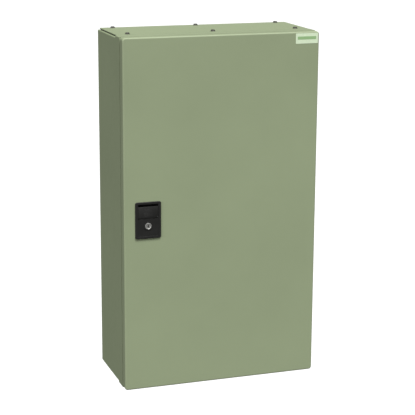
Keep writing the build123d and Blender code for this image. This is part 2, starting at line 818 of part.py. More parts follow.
# ================================================================ control row
with BuildPart() as din_rail:
    block(din_x_start, din_x_end, plate_front, din_front, rail_z - din_inner / 2, rail_z + din_inner / 2)
    block(din_x_start, din_x_end, din_front - din_sheet, din_front, rail_z - din_height / 2,
          rail_z + din_height / 2)
    block(din_x_start, din_x_end, plate_front + din_sheet, din_front,
          rail_z - din_inner / 2 + din_sheet, rail_z + din_inner / 2 - din_sheet, mode=Mode.SUBTRACT)
din_rail.part.label = "din_rail"
export_step(din_rail.part, "parts/din_rail.step")

with BuildPart() as mcb_cases:
    for x in breaker_xs:
        half = breaker_width / 2
        block(x - half, x + half, din_front, breaker_shoulder_depth,
              rail_z - breaker_height / 2, rail_z + breaker_height / 2)
        block(x - half, x + half, breaker_shoulder_depth, breaker_nose_depth,
              rail_z - breaker_nose_height / 2, rail_z + breaker_nose_height / 2)
        slot_half = toggle_width / 2 + toggle_clearance
        rod_x(x - slot_half, x + slot_half, pivot_depth, rail_z, toggle_hub_radius + toggle_clearance,
              mode=Mode.SUBTRACT)
        block(x - slot_half, x + slot_half, pivot_depth, breaker_nose_depth + 1,
              rail_z - toggle_slot_half, rail_z + toggle_slot_half, mode=Mode.SUBTRACT)
        for pole in (-breaker_width / 4, breaker_width / 4):
            for end in (-1, 1):
                rod_y(x + pole, rail_z + end * breaker_screw_from_rail,
                      breaker_shoulder_depth - breaker_screw_sink,
                      breaker_shoulder_depth + 1, breaker_screw_radius, mode=Mode.SUBTRACT)
                rod_z(x + pole, breaker_wire_depth,
                      rail_z + end * (breaker_height / 2 - breaker_wire_length),
                      rail_z + end * (breaker_height / 2 + 1), breaker_screw_radius, mode=Mode.SUBTRACT)
        for end in (-1, 1):
            block(x - breaker_groove_half, x + breaker_groove_half,
                  breaker_shoulder_depth - breaker_groove_depth, breaker_nose_depth + 1,
                  rail_z + end * (toggle_slot_half + 0.5), rail_z + end * (breaker_nose_height / 2 + 1),
                  mode=Mode.SUBTRACT)
mcb_cases.part.label = "mcb_cases"
export_step(mcb_cases.part, "parts/mcb_cases.step")


def toggle_lever(x):
    """Hub and lever of a breaker toggle, resting up in the on position."""
    rod_x(x - toggle_width / 2, x + toggle_width / 2, pivot_depth, rail_z, toggle_hub_radius)
    rise = math.radians(toggle_rest_angle)
    along = (-math.cos(rise), math.sin(rise))
    across = (math.sin(rise) * toggle_thickness / 2, math.cos(rise) * toggle_thickness / 2)
    tip_y = -pivot_depth + along[0] * toggle_reach
    tip_z = rail_z + along[1] * toggle_reach
    with BuildSketch(Plane.YZ.offset(x - toggle_width / 2)) as outline:
        with BuildLine():
            Polyline(
                (-pivot_depth + across[0], rail_z + across[1]),
                (tip_y + across[0] * toggle_taper, tip_z + across[1] * toggle_taper),
                (tip_y - across[0] * toggle_taper, tip_z - across[1] * toggle_taper),
                (-pivot_depth - across[0], rail_z - across[1]),
                close=True,
            )
        make_face()
    extrude(outline.sketch, amount=toggle_width)


with BuildPart() as mcb_1_toggle:
    toggle_lever(breaker_xs[0])
mcb_1_toggle.part.label = "mcb_1_toggle"
export_step(mcb_1_toggle.part, "parts/mcb_1_toggle.step")

with BuildPart() as mcb_2_toggle:
    toggle_lever(breaker_xs[1])
mcb_2_toggle.part.label = "mcb_2_toggle"
export_step(mcb_2_toggle.part, "parts/mcb_2_toggle.step")

block_xs = [block_first_x + block_pitch * i for i in range(block_count)]

with BuildPart() as terminal_blocks:
    half = block_height / 2
    for x in block_xs:
        with BuildSketch(Plane.YZ.offset(x - block_width / 2)):
            with BuildLine():
                Polyline(
                    (-din_front, rail_z - half),
                    (-block_front_depth + block_slope, rail_z - half),
                    (-block_front_depth, rail_z - half / 2),
                    (-block_front_depth, rail_z + half / 2),
                    (-block_front_depth + block_slope, rail_z + half),
                    (-din_front, rail_z + half),
                    close=True,
                )
            make_face()
        extrude(amount=block_width)
        for side in (-1, 1):
            rod_y(x, rail_z + side * half / 4, block_front_depth - block_screw_sink, block_front_depth + 1,
                  block_screw_radius, mode=Mode.SUBTRACT)
terminal_blocks.part.label = "terminal_blocks"
export_step(terminal_blocks.part, "parts/terminal_blocks.step")

# ================================================================ wiring ducts
duct_front = plate_front + duct_depth
left_slots = [-duct_left_half_length + duct_first_slot + duct_pitch * i
              for i in range(int((2 * duct_left_half_length - duct_first_slot) / duct_pitch))]
top_slots = [duct_top_x_start + duct_first_slot + duct_pitch * i
             for i in range(int((duct_top_x_end - duct_top_x_start - duct_first_slot) / duct_pitch))]
slot_start = plate_front + duct_slot_rear

with BuildPart() as wiring_ducts:
    block(duct_left_x, duct_left_end, plate_front, duct_front, -duct_left_half_length,
          duct_left_half_length)
    block(duct_left_x + duct_wall, duct_left_end - duct_wall, plate_front + duct_wall, duct_front,
          -duct_left_half_length, duct_left_half_length, mode=Mode.SUBTRACT)
    with BuildSketch(Plane.YZ.offset(duct_left_x)):
        for z in left_slots:
            with Locations((-(slot_start + duct_front) / 2, z)):
                Rectangle(duct_front - slot_start, duct_slot)
    extrude(amount=duct_width, mode=Mode.SUBTRACT)
    block(duct_top_x_start, duct_top_x_end, plate_front, duct_front, duct_top_z, duct_top_end_z)
    block(duct_top_x_start, duct_top_x_end, plate_front + duct_wall, duct_front,
          duct_top_z + duct_wall, duct_top_end_z - duct_wall, mode=Mode.SUBTRACT)
    with BuildSketch(Plane.XY.offset(duct_top_z)):
        for x in top_slots:
            with Locations((x, -(slot_start + duct_front) / 2)):
                Rectangle(duct_slot, duct_front - slot_start)
    extrude(amount=duct_width, mode=Mode.SUBTRACT)
wiring_ducts.part.label = "wiring_ducts"
export_step(wiring_ducts.part, "parts/wiring_ducts.step")

cover_out = duct_cover_clearance + duct_wall

with BuildPart() as duct_covers:
    block(duct_left_x - cover_out, duct_left_end + cover_out, duct_front - duct_cover_skirt,
          duct_front + duct_wall,
          -duct_left_half_length, duct_left_half_length)
    block(duct_left_x - duct_cover_clearance, duct_left_end + duct_cover_clearance,
          duct_front - duct_cover_skirt, duct_front,
          -duct_left_half_length, duct_left_half_length, mode=Mode.SUBTRACT)
    block(duct_top_x_start, duct_top_x_end, duct_front - duct_cover_skirt, duct_front + duct_wall,
          duct_top_z - cover_out, duct_top_end_z + cover_out)
    block(duct_top_x_start, duct_top_x_end, duct_front - duct_cover_skirt, duct_front,
          duct_top_z - duct_cover_clearance, duct_top_end_z + duct_cover_clearance, mode=Mode.SUBTRACT)
duct_covers.part.label = "duct_covers"
export_step(duct_covers.part, "parts/duct_covers.step")

# ================================================================ controller
controller_end_z = controller_z + controller_height
window_x = controller_x + window_side_margin
window_z = controller_end_z - window_top_margin - window_height
button_z = controller_z + button_above_base
button_xs = [controller_x + button_first_from_side + button_pitch * i for i in range(3)]
led_x = controller_end_x - led_side_margin

with BuildPart() as controller_case:
    block(controller_x, controller_end_x, controller_rear, controller_front, controller_z, controller_end_z)
    fillet(controller_case.edges().filter_by(Axis.Y), 4)
    fillet(controller_case.edges().group_by(Axis.Y)[0], 1.5)
    block(window_x, window_x + window_width, controller_front - window_thickness, controller_front + 1,
          window_z, window_z + window_height, mode=Mode.SUBTRACT)
    for x in button_xs:
        rod_y(x, button_z, controller_front - button_travel_room, controller_front + 1,
              button_radius + button_clearance, mode=Mode.SUBTRACT)
    for i in range(led_count):
        rod_y(led_x, window_z + led_first_rise + led_pitch * i, controller_front - led_sink,
              controller_front + 1,
              led_radius, mode=Mode.SUBTRACT)
controller_case.part.label = "controller_case"
export_step(controller_case.part, "parts/controller_case.step")

with BuildPart() as controller_window:
    block(window_x, window_x + window_width, controller_front - window_thickness, controller_front,
          window_z, window_z + window_height)
controller_window.part.label = "controller_window"
export_step(controller_window.part, "parts/controller_window.step")

button_bottom = controller_front - button_travel_room + button_rear_gap


def push_button(x):
    """A round push button with a softened rim."""
    rod_y(x, button_z, button_bottom, controller_front + button_proud, button_radius)


with BuildPart() as mode_button:
    push_button(button_xs[0])
    fillet(mode_button.edges().group_by(Axis.Y)[0], button_rim)
mode_button.part.label = "mode_button"
export_step(mode_button.part, "parts/mode_button.step")

with BuildPart() as test_button:
    push_button(button_xs[1])
    fillet(test_button.edges().group_by(Axis.Y)[0], button_rim)
test_button.part.label = "test_button"
export_step(test_button.part, "parts/test_button.step")

with BuildPart() as reset_button:
    push_button(button_xs[2])
    fillet(reset_button.edges().group_by(Axis.Y)[0], button_rim)
reset_button.part.label = "reset_button"
export_step(reset_button.part, "parts/reset_button.step")

plug_xs = [controller_x + plug_first_from_side + plug_pitch * i for i in range(3)]
plug_rear = controller_rear + plug_from_rear
plug_front = plug_rear + plug_thickness
way_offsets = [plug_way_first + plug_way_pitch * i for i in range(plug_ways)]

with BuildPart() as controller_plugs:
    for x in plug_xs:
        block(x, x + plug_width, plug_rear, plug_front, controller_end_z, controller_end_z + plug_height)
        for way in way_offsets:
            rod_y(x + way, controller_end_z + plug_height / 2, plug_front - plug_screw_sink, plug_front + 1,
                  plug_screw_radius, mode=Mode.SUBTRACT)
controller_plugs.part.label = "controller_plugs"
export_step(controller_plugs.part, "parts/controller_plugs.step")

earth_post_xs = (earth_bar_x + earth_post_inset, earth_bar_x + earth_bar_length - earth_post_inset)

with BuildPart() as standoffs:
    for x in (controller_x + standoff_inset, controller_end_x - standoff_inset):
        for z in (controller_z + standoff_inset, controller_end_z - standoff_inset):
            hex_y(x, z, plate_front, controller_rear, 2 * standoff_radius)
    for x in earth_post_xs:
        hex_y(x, earth_bar_z, plate_front, plate_front + earth_bar_stand, 2 * standoff_radius)
standoffs.part.label = "standoffs"
export_step(standoffs.part, "parts/standoffs.step")

# ================================================================ switch
switch_low = switch_z - switch_half_height
switch_high = switch_z + switch_half_height
chamber_half = (pole_pitch - pole_wall) / 2
bar_front_end = bar_front_depth + bar_thickness
bar_rear_end = bar_rear_depth + bar_thickness
rotor_start = switch_x + switch_end_wall
rotor_end = switch_end - switch_end_wall

with BuildPart() as switch_base:
    block(switch_x, switch_end, plate_front, switch_front, switch_low, switch_high)
    for x in pole_xs:
        rod_x(x - chamber_half, x + chamber_half, shaft_depth, switch_z, chamber_radius, mode=Mode.SUBTRACT)
        block(x - chamber_half, x + chamber_half, shaft_depth, switch_front + 1,
              switch_z - chamber_radius, switch_z + chamber_radius, mode=Mode.SUBTRACT)
        block(x - bar_width / 2, x + bar_width / 2, bar_front_depth, switch_front + 1,
              switch_low - 1, switch_high + 1, mode=Mode.SUBTRACT)
        block(x - bar_width / 2, x + bar_width / 2, bar_rear_depth, bar_rear_end,
              switch_low - 1, switch_z + pad_far, mode=Mode.SUBTRACT)
        for side in (-1, 1):
            block(x - pad_width / 2, x + pad_width / 2, bar_rear_end, bar_rear_end + load_pad_rise,
                  switch_z + side * pad_near, switch_z + side * pad_far, mode=Mode.SUBTRACT)
    rod_x(rotor_start, rotor_end, shaft_depth, switch_z, rotor_radius + rotor_wall_clearance,
          mode=Mode.SUBTRACT)
    rod_x(switch_x - 1, switch_end + 1, shaft_depth, switch_z, bush_radius, mode=Mode.SUBTRACT)
switch_base.part.label = "switch_base"
export_step(switch_base.part, "parts/switch_base.step")

with BuildPart() as rotor_bushes:
    for start in (switch_x, rotor_end):
        rod_x(start, start + switch_end_wall, shaft_depth, switch_z, bush_radius)
        rod_x(start, start + switch_end_wall, shaft_depth, switch_z, journal_radius + journal_clearance,
              mode=Mode.SUBTRACT)
rotor_bushes.part.label = "rotor_bushes"
export_step(rotor_bushes.part, "parts/rotor_bushes.step")

with BuildPart() as switch_cover:
    block(switch_x, switch_end, switch_front, switch_front + cover_thickness, switch_low, switch_high)
    fillet(switch_cover.edges().filter_by(Axis.Y), 3)
switch_cover.part.label = "switch_cover"
export_step(switch_cover.part, "parts/switch_cover.step")

blade_sweep = blade_radius + contact_clearance
source_hole_z = switch_half_height + source_reach / 2
load_hole_z = -switch_half_height - load_reach + source_reach / 2


def source_bars(side):
    """The front bars of one supply: a contact pad in each pole and a bolted end outside the base."""
    for x in pole_xs:
        block(x - bar_width / 2, x + bar_width / 2, bar_front_depth, bar_front_end,
              switch_z + side * pad_near, switch_z + side * (switch_half_height + source_reach))
        block(x - pad_width / 2, x + pad_width / 2, bar_front_depth - source_pad_rise, bar_front_depth,
              switch_z + side * pad_near, switch_z + side * pad_far)
        rod_y(x, switch_z + side * source_hole_z, bar_front_depth - 1, bar_front_end + 1,
              bolt_radius + bolt_clearance, mode=Mode.SUBTRACT)
    rod_x(switch_x, switch_end, shaft_depth, switch_z, blade_sweep, mode=Mode.SUBTRACT)


with BuildPart() as source_1_terminals:
    source_bars(1)
source_1_terminals.part.label = "source_1_terminals"
export_step(source_1_terminals.part, "parts/source_1_terminals.step")

with BuildPart() as source_2_terminals:
    source_bars(-1)
source_2_terminals.part.label = "source_2_terminals"
export_step(source_2_terminals.part, "parts/source_2_terminals.step")

with BuildPart() as load_terminals:
    for x in pole_xs:
        block(x - bar_width / 2, x + bar_width / 2, bar_rear_depth, bar_rear_end,
              switch_low - load_reach, switch_z + pad_far)
        for side in (-1, 1):
            block(x - pad_width / 2, x + pad_width / 2, bar_rear_end, bar_rear_end + load_pad_rise,
                  switch_z + side * pad_near, switch_z + side * pad_far)
        rod_y(x, switch_z + load_hole_z, bar_rear_depth - 1, bar_rear_end + 1,
              bolt_radius + bolt_clearance, mode=Mode.SUBTRACT)
    rod_x(switch_x, switch_end, shaft_depth, switch_z, blade_sweep, mode=Mode.SUBTRACT)
load_terminals.part.label = "load_terminals"
export_step(load_terminals.part, "parts/load_terminals.step")

with BuildPart() as terminal_bolts:
    for x in pole_xs:
        for z, rear, front in (
            (switch_z + source_hole_z, bar_front_depth, bar_front_end),
            (switch_z - source_hole_z, bar_front_depth, bar_front_end),
            (switch_z + load_hole_z, bar_rear_depth, bar_rear_end),
        ):
            rod_y(x, z, rear - bolt_nut_height - bolt_tail, front, bolt_radius)
            hex_y(x, z, front, front + bolt_head_height, bolt_head_flats)
            hex_y(x, z, rear - bolt_nut_height, rear, bolt_head_flats)
terminal_bolts.part.label = "terminal_bolts"
export_step(terminal_bolts.part, "parts/terminal_bolts.step")

with BuildPart() as phase_barriers:
    for x in pole_xs[1:]:
        edge = x - pole_pitch / 2
        block(edge - barrier_thickness / 2, edge + barrier_thickness / 2, barrier_rear, switch_front,
              switch_high, switch_high + barrier_reach)
        block(edge - barrier_thickness / 2, edge + barrier_thickness / 2, barrier_rear, switch_front,
              switch_low - load_reach, switch_low)
phase_barriers.part.label = "phase_barriers"
export_step(phase_barriers.part, "parts/phase_barriers.step")

rotor_x0 = rotor_start + rotor_end_clearance
rotor_x1 = rotor_end - rotor_end_clearance

with BuildPart() as rotor:
    rod_x(rotor_x0, rotor_x1, shaft_depth, switch_z, rotor_radius)
    rod_x(switch_x, rotor_x0, shaft_depth, switch_z, journal_radius)
    for x in pole_xs:
        block(x - blade_width / 2, x + blade_width / 2, shaft_depth - rotor_radius - 1,
              shaft_depth + rotor_radius + 1,
              switch_z - blade_thickness / 2, switch_z + blade_thickness / 2, mode=Mode.SUBTRACT)
    rod_x(rotor_x1 - shaft_socket, rotor_x1 + 1, shaft_depth, switch_z, journal_radius, mode=Mode.SUBTRACT)
rotor.part.label = "rotor"
export_step(rotor.part, "parts/rotor.step")

with BuildPart() as moving_contacts:
    rod_x(pole_xs[0] - blade_width / 2, pole_xs[-1] + blade_width / 2, shaft_depth, switch_z, blade_radius)
    block(switch_x, switch_end, shaft_depth - 2 * blade_radius, shaft_depth + 2 * blade_radius,
          switch_z + blade_thickness / 2, switch_z + 2 * blade_radius, mode=Mode.SUBTRACT)
    block(switch_x, switch_end, shaft_depth - 2 * blade_radius, shaft_depth + 2 * blade_radius,
          switch_z - 2 * blade_radius, switch_z - blade_thickness / 2, mode=Mode.SUBTRACT)
    for x in pole_xs[1:]:
        block(x - pole_pitch + blade_width / 2, x - blade_width / 2,
              shaft_depth - 2 * blade_radius, shaft_depth + 2 * blade_radius,
              switch_z - blade_thickness, switch_z + blade_thickness, mode=Mode.SUBTRACT)
moving_contacts.part.label = "moving_contacts"
export_step(moving_contacts.part, "parts/moving_contacts.step")

# ================================================================ motor drive
with BuildPart() as drive_shaft:
    rod_x(rotor_x1 - shaft_socket, drive_end + shaft_past_drive, shaft_depth, switch_z, journal_radius)
    with BuildSketch(Plane.YZ.offset(drive_end + shaft_past_drive)):
        with Locations((-shaft_depth, switch_z)):
            RegularPolygon(hex_flats / 2, 6, major_radius=False)
    extrude(amount=hex_length)
drive_shaft.part.label = "drive_shaft"
export_step(drive_shaft.part, "parts/drive_shaft.step")

mesh_angle = math.degrees(math.atan2(pinion_z - switch_z, pinion_axis_behind))

with BuildPart() as drive_gear:
    with BuildSketch(Plane(origin=(gear_x, -shaft_depth, switch_z), x_dir=(0, 1, 0), z_dir=(1, 0, 0))):
        with BuildLine():
            Polyline(gear_outline(gear_teeth, mesh_angle), close=True)
        make_face()
        Circle(journal_radius, mode=Mode.SUBTRACT)
        with PolarLocations(gear_radius * 0.58, gear_hole_count):
            Circle(gear_radius * 0.16, mode=Mode.SUBTRACT)
    extrude(amount=gear_face)
drive_gear.part.label = "drive_gear"
export_step(drive_gear.part, "parts/drive_gear.step")

with BuildPart() as motor_pinion:
    with BuildSketch(Plane(origin=(gear_x, -pinion_depth, pinion_z), x_dir=(0, 1, 0), z_dir=(1, 0, 0))):
        with BuildLine():
            Polyline(gear_outline(pinion_teeth, mesh_angle + 180 + 180 / pinion_teeth), close=True)
        make_face()
    extrude(amount=gear_face)
    rod_x(gear_x - 3, motor_x + 10, pinion_depth, pinion_z, motor_shaft_radius)
motor_pinion.part.label = "motor_pinion"
export_step(motor_pinion.part, "parts/motor_pinion.step")

with BuildPart() as motor:
    rod_x(motor_x, motor_x + motor_length, pinion_depth, pinion_z, motor_radius)
    fillet(motor.edges().filter_by(GeomType.CIRCLE), 1.5)
    rod_x(motor_x - 2, motor_x + 1, pinion_depth, pinion_z, motor_radius * 0.4)
    rod_x(motor_x - 3, motor_x + 11, pinion_depth, pinion_z, motor_shaft_radius + motor_shaft_clearance,
          mode=Mode.SUBTRACT)
motor.part.label = "motor"
export_step(motor.part, "parts/motor.step")

with BuildPart() as drive_housing:
    block(switch_end, drive_end, plate_front, drive_joint_depth, switch_low, switch_high)
    block(switch_end + drive_wall, drive_end - drive_wall, plate_front + drive_wall, drive_joint_depth + 1,
          switch_low + drive_wall, switch_high - drive_wall, mode=Mode.SUBTRACT)
    for start in (motor_x + cradle_from_start, motor_x + motor_length - cradle_from_end):
        block(start, start + cradle_width, plate_front, pinion_depth, pinion_z - motor_radius,
              pinion_z + motor_radius)
    rod_x(motor_x, motor_x + motor_length, pinion_depth, pinion_z, motor_radius, mode=Mode.SUBTRACT)
    rod_x(switch_end - 1, switch_end + drive_wall + 1, shaft_depth, switch_z, journal_radius + 1,
          mode=Mode.SUBTRACT)
    rod_x(drive_end - drive_wall - 1, drive_end + 1, shaft_depth, switch_z,
          journal_radius + journal_clearance,
          mode=Mode.SUBTRACT)
drive_housing.part.label = "drive_housing"
export_step(drive_housing.part, "parts/drive_housing.step")

with BuildPart() as drive_cover:
    block(switch_end, drive_end, drive_joint_depth, switch_front + cover_thickness, switch_low, switch_high)
    fillet(drive_cover.edges().group_by(Axis.Y)[0], 1.5)
    block(switch_end + drive_wall, drive_end - drive_wall, drive_joint_depth - 1, switch_front,
          switch_low + drive_wall, switch_high - drive_wall, mode=Mode.SUBTRACT)
    block(indicator_x - indicator_window_side, indicator_x + indicator_width + indicator_window_side,
          switch_front - 1, switch_front + cover_thickness + 1,
          switch_z - indicator_window_half_height, switch_z + indicator_window_half_height,
          mode=Mode.SUBTRACT)
drive_cover.part.label = "drive_cover"
export_step(drive_cover.part, "parts/drive_cover.step")

with BuildPart() as position_indicator:
    rod_x(indicator_x, indicator_x + indicator_width, shaft_depth, switch_z, indicator_radius)
    rod_x(indicator_x, indicator_x + indicator_width, shaft_depth, switch_z, journal_radius,
          mode=Mode.SUBTRACT)
position_indicator.part.label = "position_indicator"
export_step(position_indicator.part, "parts/position_indicator.step")

# ================================================================ handle
handle_depth = plate_front + handle_stand
rod_low = handle_top_z - handle_rod
clip_zs = (handle_top_z - upper_clip_drop, rod_low + lower_clip_rise)

with BuildPart() as manual_handle:
    rod_z(handle_x, handle_depth, rod_low, handle_top_z, handle_radius)
    rod_z(handle_x, handle_depth, rod_low - handle_grip, rod_low, handle_grip_radius)
    fillet(manual_handle.edges().filter_by(GeomType.CIRCLE).group_by(Axis.Z)[0], 3)
    rod_y(handle_x, handle_top_z, handle_depth - handle_socket_radius + 1,
          handle_depth - handle_socket_radius + 1 + handle_socket, handle_socket_radius)
    socket_front = handle_depth - handle_socket_radius + 1 + handle_socket
    hex_y(handle_x, handle_top_z, socket_front - hex_length, socket_front + 1,
          hex_flats + handle_hex_clearance,
          mode=Mode.SUBTRACT)
manual_handle.part.label = "manual_handle"
export_step(manual_handle.part, "parts/manual_handle.step")

with BuildPart() as handle_clips:
    for z in clip_zs:
        block(handle_x - handle_radius - clip_wall, handle_x + handle_radius + clip_wall,
              plate_front, handle_depth + clip_past_rod,
              z - clip_width / 2, z + clip_width / 2)
        rod_z(handle_x, handle_depth, z - clip_width, z + clip_width, handle_radius, mode=Mode.SUBTRACT)
        block(handle_x - handle_radius + clip_mouth_narrowing,
              handle_x + handle_radius - clip_mouth_narrowing,
              handle_depth, handle_depth + 10,
              z - clip_width, z + clip_width, mode=Mode.SUBTRACT)
handle_clips.part.label = "handle_clips"
export_step(handle_clips.part, "parts/handle_clips.step")

# ================================================================ earthing
bar_rear = plate_front + earth_bar_stand
bar_front = bar_rear + earth_bar_thickness
earth_screw_start = earth_bar_x + earth_screw_margin
earth_screw_pitch = (earth_bar_length - 2 * earth_screw_margin) / (earth_screw_count - 1)
earth_screw_xs = [earth_screw_start + earth_screw_pitch * i for i in range(earth_screw_count)]

with BuildPart() as earth_bar:
    block(earth_bar_x, earth_bar_x + earth_bar_length, bar_rear, bar_front,
          earth_bar_z - earth_bar_height / 2, earth_bar_z + earth_bar_height / 2)
    for x in earth_screw_xs:
        rod_y(x, earth_bar_z, bar_rear - 1, bar_front + 1, earth_screw_radius, mode=Mode.SUBTRACT)
earth_bar.part.label = "earth_bar"
export_step(earth_bar.part, "parts/earth_bar.step")

with BuildPart() as earth_bar_screws:
    for x in earth_screw_xs:
        head_front = bar_front + earth_screw_head_height
        rod_y(x, earth_bar_z, bar_rear - 2, bar_front, earth_screw_radius)
        rod_y(x, earth_bar_z, bar_front, head_front, earth_screw_head_radius)
        block(x - earth_screw_slot_reach, x + earth_screw_slot_reach,
              head_front - earth_screw_slot_depth, head_front + 1,
              earth_bar_z - earth_screw_slot_half, earth_bar_z + earth_screw_slot_half, mode=Mode.SUBTRACT)
earth_bar_screws.part.label = "earth_bar_screws"
export_step(earth_bar_screws.part, "parts/earth_bar_screws.step")

door_stud_x = half_width - door_stud_from_edge
door_stud_tip = door_inner - earth_stud_length
wall_inner_x = half_width - sheet
body_stud_tip = wall_inner_x - earth_stud_length

with BuildPart() as door_earth_stud:
    rod_y(door_stud_x, earth_stud_z, door_stud_tip, door_inner, earth_stud_radius)
    rod_y(door_stud_x, earth_stud_z, door_inner - stud_pad, door_inner, earth_stud_radius + stud_pad_rim)
    hex_y(door_stud_x, earth_stud_z, door_inner - stud_nut_rear, door_inner - stud_nut_front,
          stud_nut_flats)
door_earth_stud.part.label = "door_earth_stud"
export_step(door_earth_stud.part, "parts/door_earth_stud.step")

with BuildPart() as body_earth_stud:
    rod_x(body_stud_tip, wall_inner_x, body_stud_depth, earth_stud_z, earth_stud_radius)
    rod_x(wall_inner_x - stud_pad, wall_inner_x, body_stud_depth, earth_stud_z,
          earth_stud_radius + stud_pad_rim)
    with BuildSketch(Plane.YZ.offset(wall_inner_x - stud_nut_rear)):
        with Locations((-body_stud_depth, earth_stud_z)):
            RegularPolygon(stud_nut_flats / 2, 6, major_radius=False)
    extrude(amount=stud_nut_rear - stud_nut_front)
body_earth_stud.part.label = "body_earth_stud"
export_step(body_earth_stud.part, "parts/body_earth_stud.step")

# The earth lead hangs in a loop from the body stud to the door stud.  Its lugs
# sit just off the nuts, with the studs through their holes.
lug_body_x = wall_inner_x - stud_nut_rear - lug_gap
lug_door_depth = door_inner - stud_nut_rear - lug_gap
earth_route = [
    (lug_body_x, -body_stud_depth, earth_stud_z - lug_neck),
    (lug_body_x - 1.5, -body_stud_depth - 4, earth_stud_z - 34),
    (lug_body_x - 13, -body_stud_depth - 24, earth_stud_z - 47),
    (door_stud_x + 7, -lug_door_depth + 3, earth_stud_z - 33),
    (door_stud_x, -lug_door_depth, earth_stud_z - lug_neck),
]

with BuildPart() as earth_lead:
    with BuildLine() as earth_path:
        FilletPolyline(*earth_route, radius=(11, 12, 11))
    with BuildSketch(Plane(origin=earth_path.wires()[0] @ 0, z_dir=earth_path.wires()[0] % 0)):
        Circle(earth_lead_radius)
    sweep(path=earth_path.wires()[0])
    rod_x(lug_body_x - lug_thickness / 2, lug_body_x + lug_thickness / 2, body_stud_depth,
          earth_stud_z, lug_radius)
    rod_y(door_stud_x, earth_stud_z, lug_door_depth - lug_thickness / 2, lug_door_depth + lug_thickness / 2,
          lug_radius)
    rod_z(lug_body_x, body_stud_depth, earth_stud_z - lug_neck - 1, earth_stud_z - lug_neck + 3,
          earth_lead_radius)
    rod_z(door_stud_x, lug_door_depth, earth_stud_z - lug_neck - 1, earth_stud_z - lug_neck + 3,
          earth_lead_radius)
    rod_x(lug_body_x - 3, lug_body_x + 3, body_stud_depth, earth_stud_z,
          earth_stud_radius + lug_hole_clearance,
          mode=Mode.SUBTRACT)
    rod_y(door_stud_x, earth_stud_z, lug_door_depth - 3, lug_door_depth + 3,
          earth_stud_radius + lug_hole_clearance,
          mode=Mode.SUBTRACT)
earth_lead.part.label = "earth_lead"
export_step(earth_lead.part, "parts/earth_lead.step")

# ================================================================ control leads
def nearest_slot(x):
    """The duct slot closest to x."""
    return min(top_slots, key=lambda slot: abs(slot - x))


lead_routes = []
for x in breaker_xs:
    for pole in (-breaker_width / 4, breaker_width / 4):
        slot = nearest_slot(x + pole)
        top = rail_z - breaker_height / 2
        lead_routes.append([(x + pole, top), (x + pole, top - 6), (slot, duct_top_end_z + 6),
                            (slot, duct_top_end_z - duct_entry)])
used_slots = []
for x in block_xs:
    slot = nearest_slot(x)
    if slot in used_slots:
        continue
    used_slots.append(slot)
    top = rail_z - block_height / 2
    lead_routes.append([(x, top), (x, top - 11), (slot, duct_top_end_z + 8),
                        (slot, duct_top_end_z - duct_entry)])
for start in plug_xs:
    for way in way_offsets[1::2]:
        x = start + way
        slot = nearest_slot(x)
        bottom = controller_end_z + plug_height
        lead_routes.append([(x, bottom), (x, bottom + 4), (slot, duct_top_z - 3),
                            (slot, duct_top_z + duct_entry)])
for from_end in (21, 12, 3.5):
    x = drive_end - from_end
    slot = nearest_slot(x + 4)
    lead_routes.append([(x, switch_high), (x, switch_high + 40), (slot, duct_top_z - 40),
                        (slot, duct_top_z + duct_entry)])

with BuildPart() as control_leads:
    for route in lead_routes:
        points = [(x, -lead_depth, z) for x, z in route]
        if abs(points[0][0] - points[-1][0]) < 0.01:
            rod_z(points[0][0], lead_depth, points[0][2], points[-1][2], lead_radius)
            continue
        with BuildLine() as lead_path:
            FilletPolyline(*points, radius=lead_bend)
        wire = lead_path.wires()[0]
        with BuildSketch(Plane(origin=wire @ 0, z_dir=wire % 0)):
            Circle(lead_radius)
        sweep(path=wire)
control_leads.part.label = "control_leads"
export_step(control_leads.part, "parts/control_leads.step")
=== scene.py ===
import json
import math
import random

import bmesh
import bpy
from mathutils import Matrix, Vector


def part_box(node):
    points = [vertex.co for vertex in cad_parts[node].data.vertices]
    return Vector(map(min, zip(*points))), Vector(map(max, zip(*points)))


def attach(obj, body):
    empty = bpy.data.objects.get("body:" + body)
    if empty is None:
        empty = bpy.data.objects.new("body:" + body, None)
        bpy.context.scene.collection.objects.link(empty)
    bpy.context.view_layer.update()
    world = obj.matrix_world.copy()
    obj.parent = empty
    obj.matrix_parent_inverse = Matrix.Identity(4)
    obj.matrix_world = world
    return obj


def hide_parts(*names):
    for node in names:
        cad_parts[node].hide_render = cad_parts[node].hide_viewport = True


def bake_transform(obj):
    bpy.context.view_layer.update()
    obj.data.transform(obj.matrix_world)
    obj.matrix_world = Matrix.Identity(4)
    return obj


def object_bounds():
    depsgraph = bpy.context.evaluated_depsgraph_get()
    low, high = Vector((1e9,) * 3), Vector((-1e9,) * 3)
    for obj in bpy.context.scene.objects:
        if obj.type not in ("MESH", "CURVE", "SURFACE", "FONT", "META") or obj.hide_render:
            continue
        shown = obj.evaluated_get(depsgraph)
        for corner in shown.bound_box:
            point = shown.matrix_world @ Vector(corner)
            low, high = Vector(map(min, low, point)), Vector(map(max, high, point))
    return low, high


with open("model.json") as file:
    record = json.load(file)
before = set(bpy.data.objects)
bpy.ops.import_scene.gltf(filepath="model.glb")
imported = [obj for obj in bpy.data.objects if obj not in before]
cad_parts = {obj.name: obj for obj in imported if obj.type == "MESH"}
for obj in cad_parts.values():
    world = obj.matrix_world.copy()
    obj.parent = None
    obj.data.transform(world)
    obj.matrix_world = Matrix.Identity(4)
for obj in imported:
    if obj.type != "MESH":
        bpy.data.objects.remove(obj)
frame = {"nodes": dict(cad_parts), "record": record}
cad_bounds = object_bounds()
random.seed(7)

MM = 0.001
FRONT = (0, -1, 0)
BACK = (0, 1, 0)

# The view: a long lens, left of the door and above it.
SENSOR_WIDTH = 36
CAMERA_LENS = 120.9
CAMERA_OFFSET = (-0.988, -3.588, 1.449)  # from the door's front lower left corner, in door heights
CAMERA_TURN = (18.94, -13.80, 0.30)  # yaw, pitch and roll in degrees
CAMERA_CLIP = 0.05

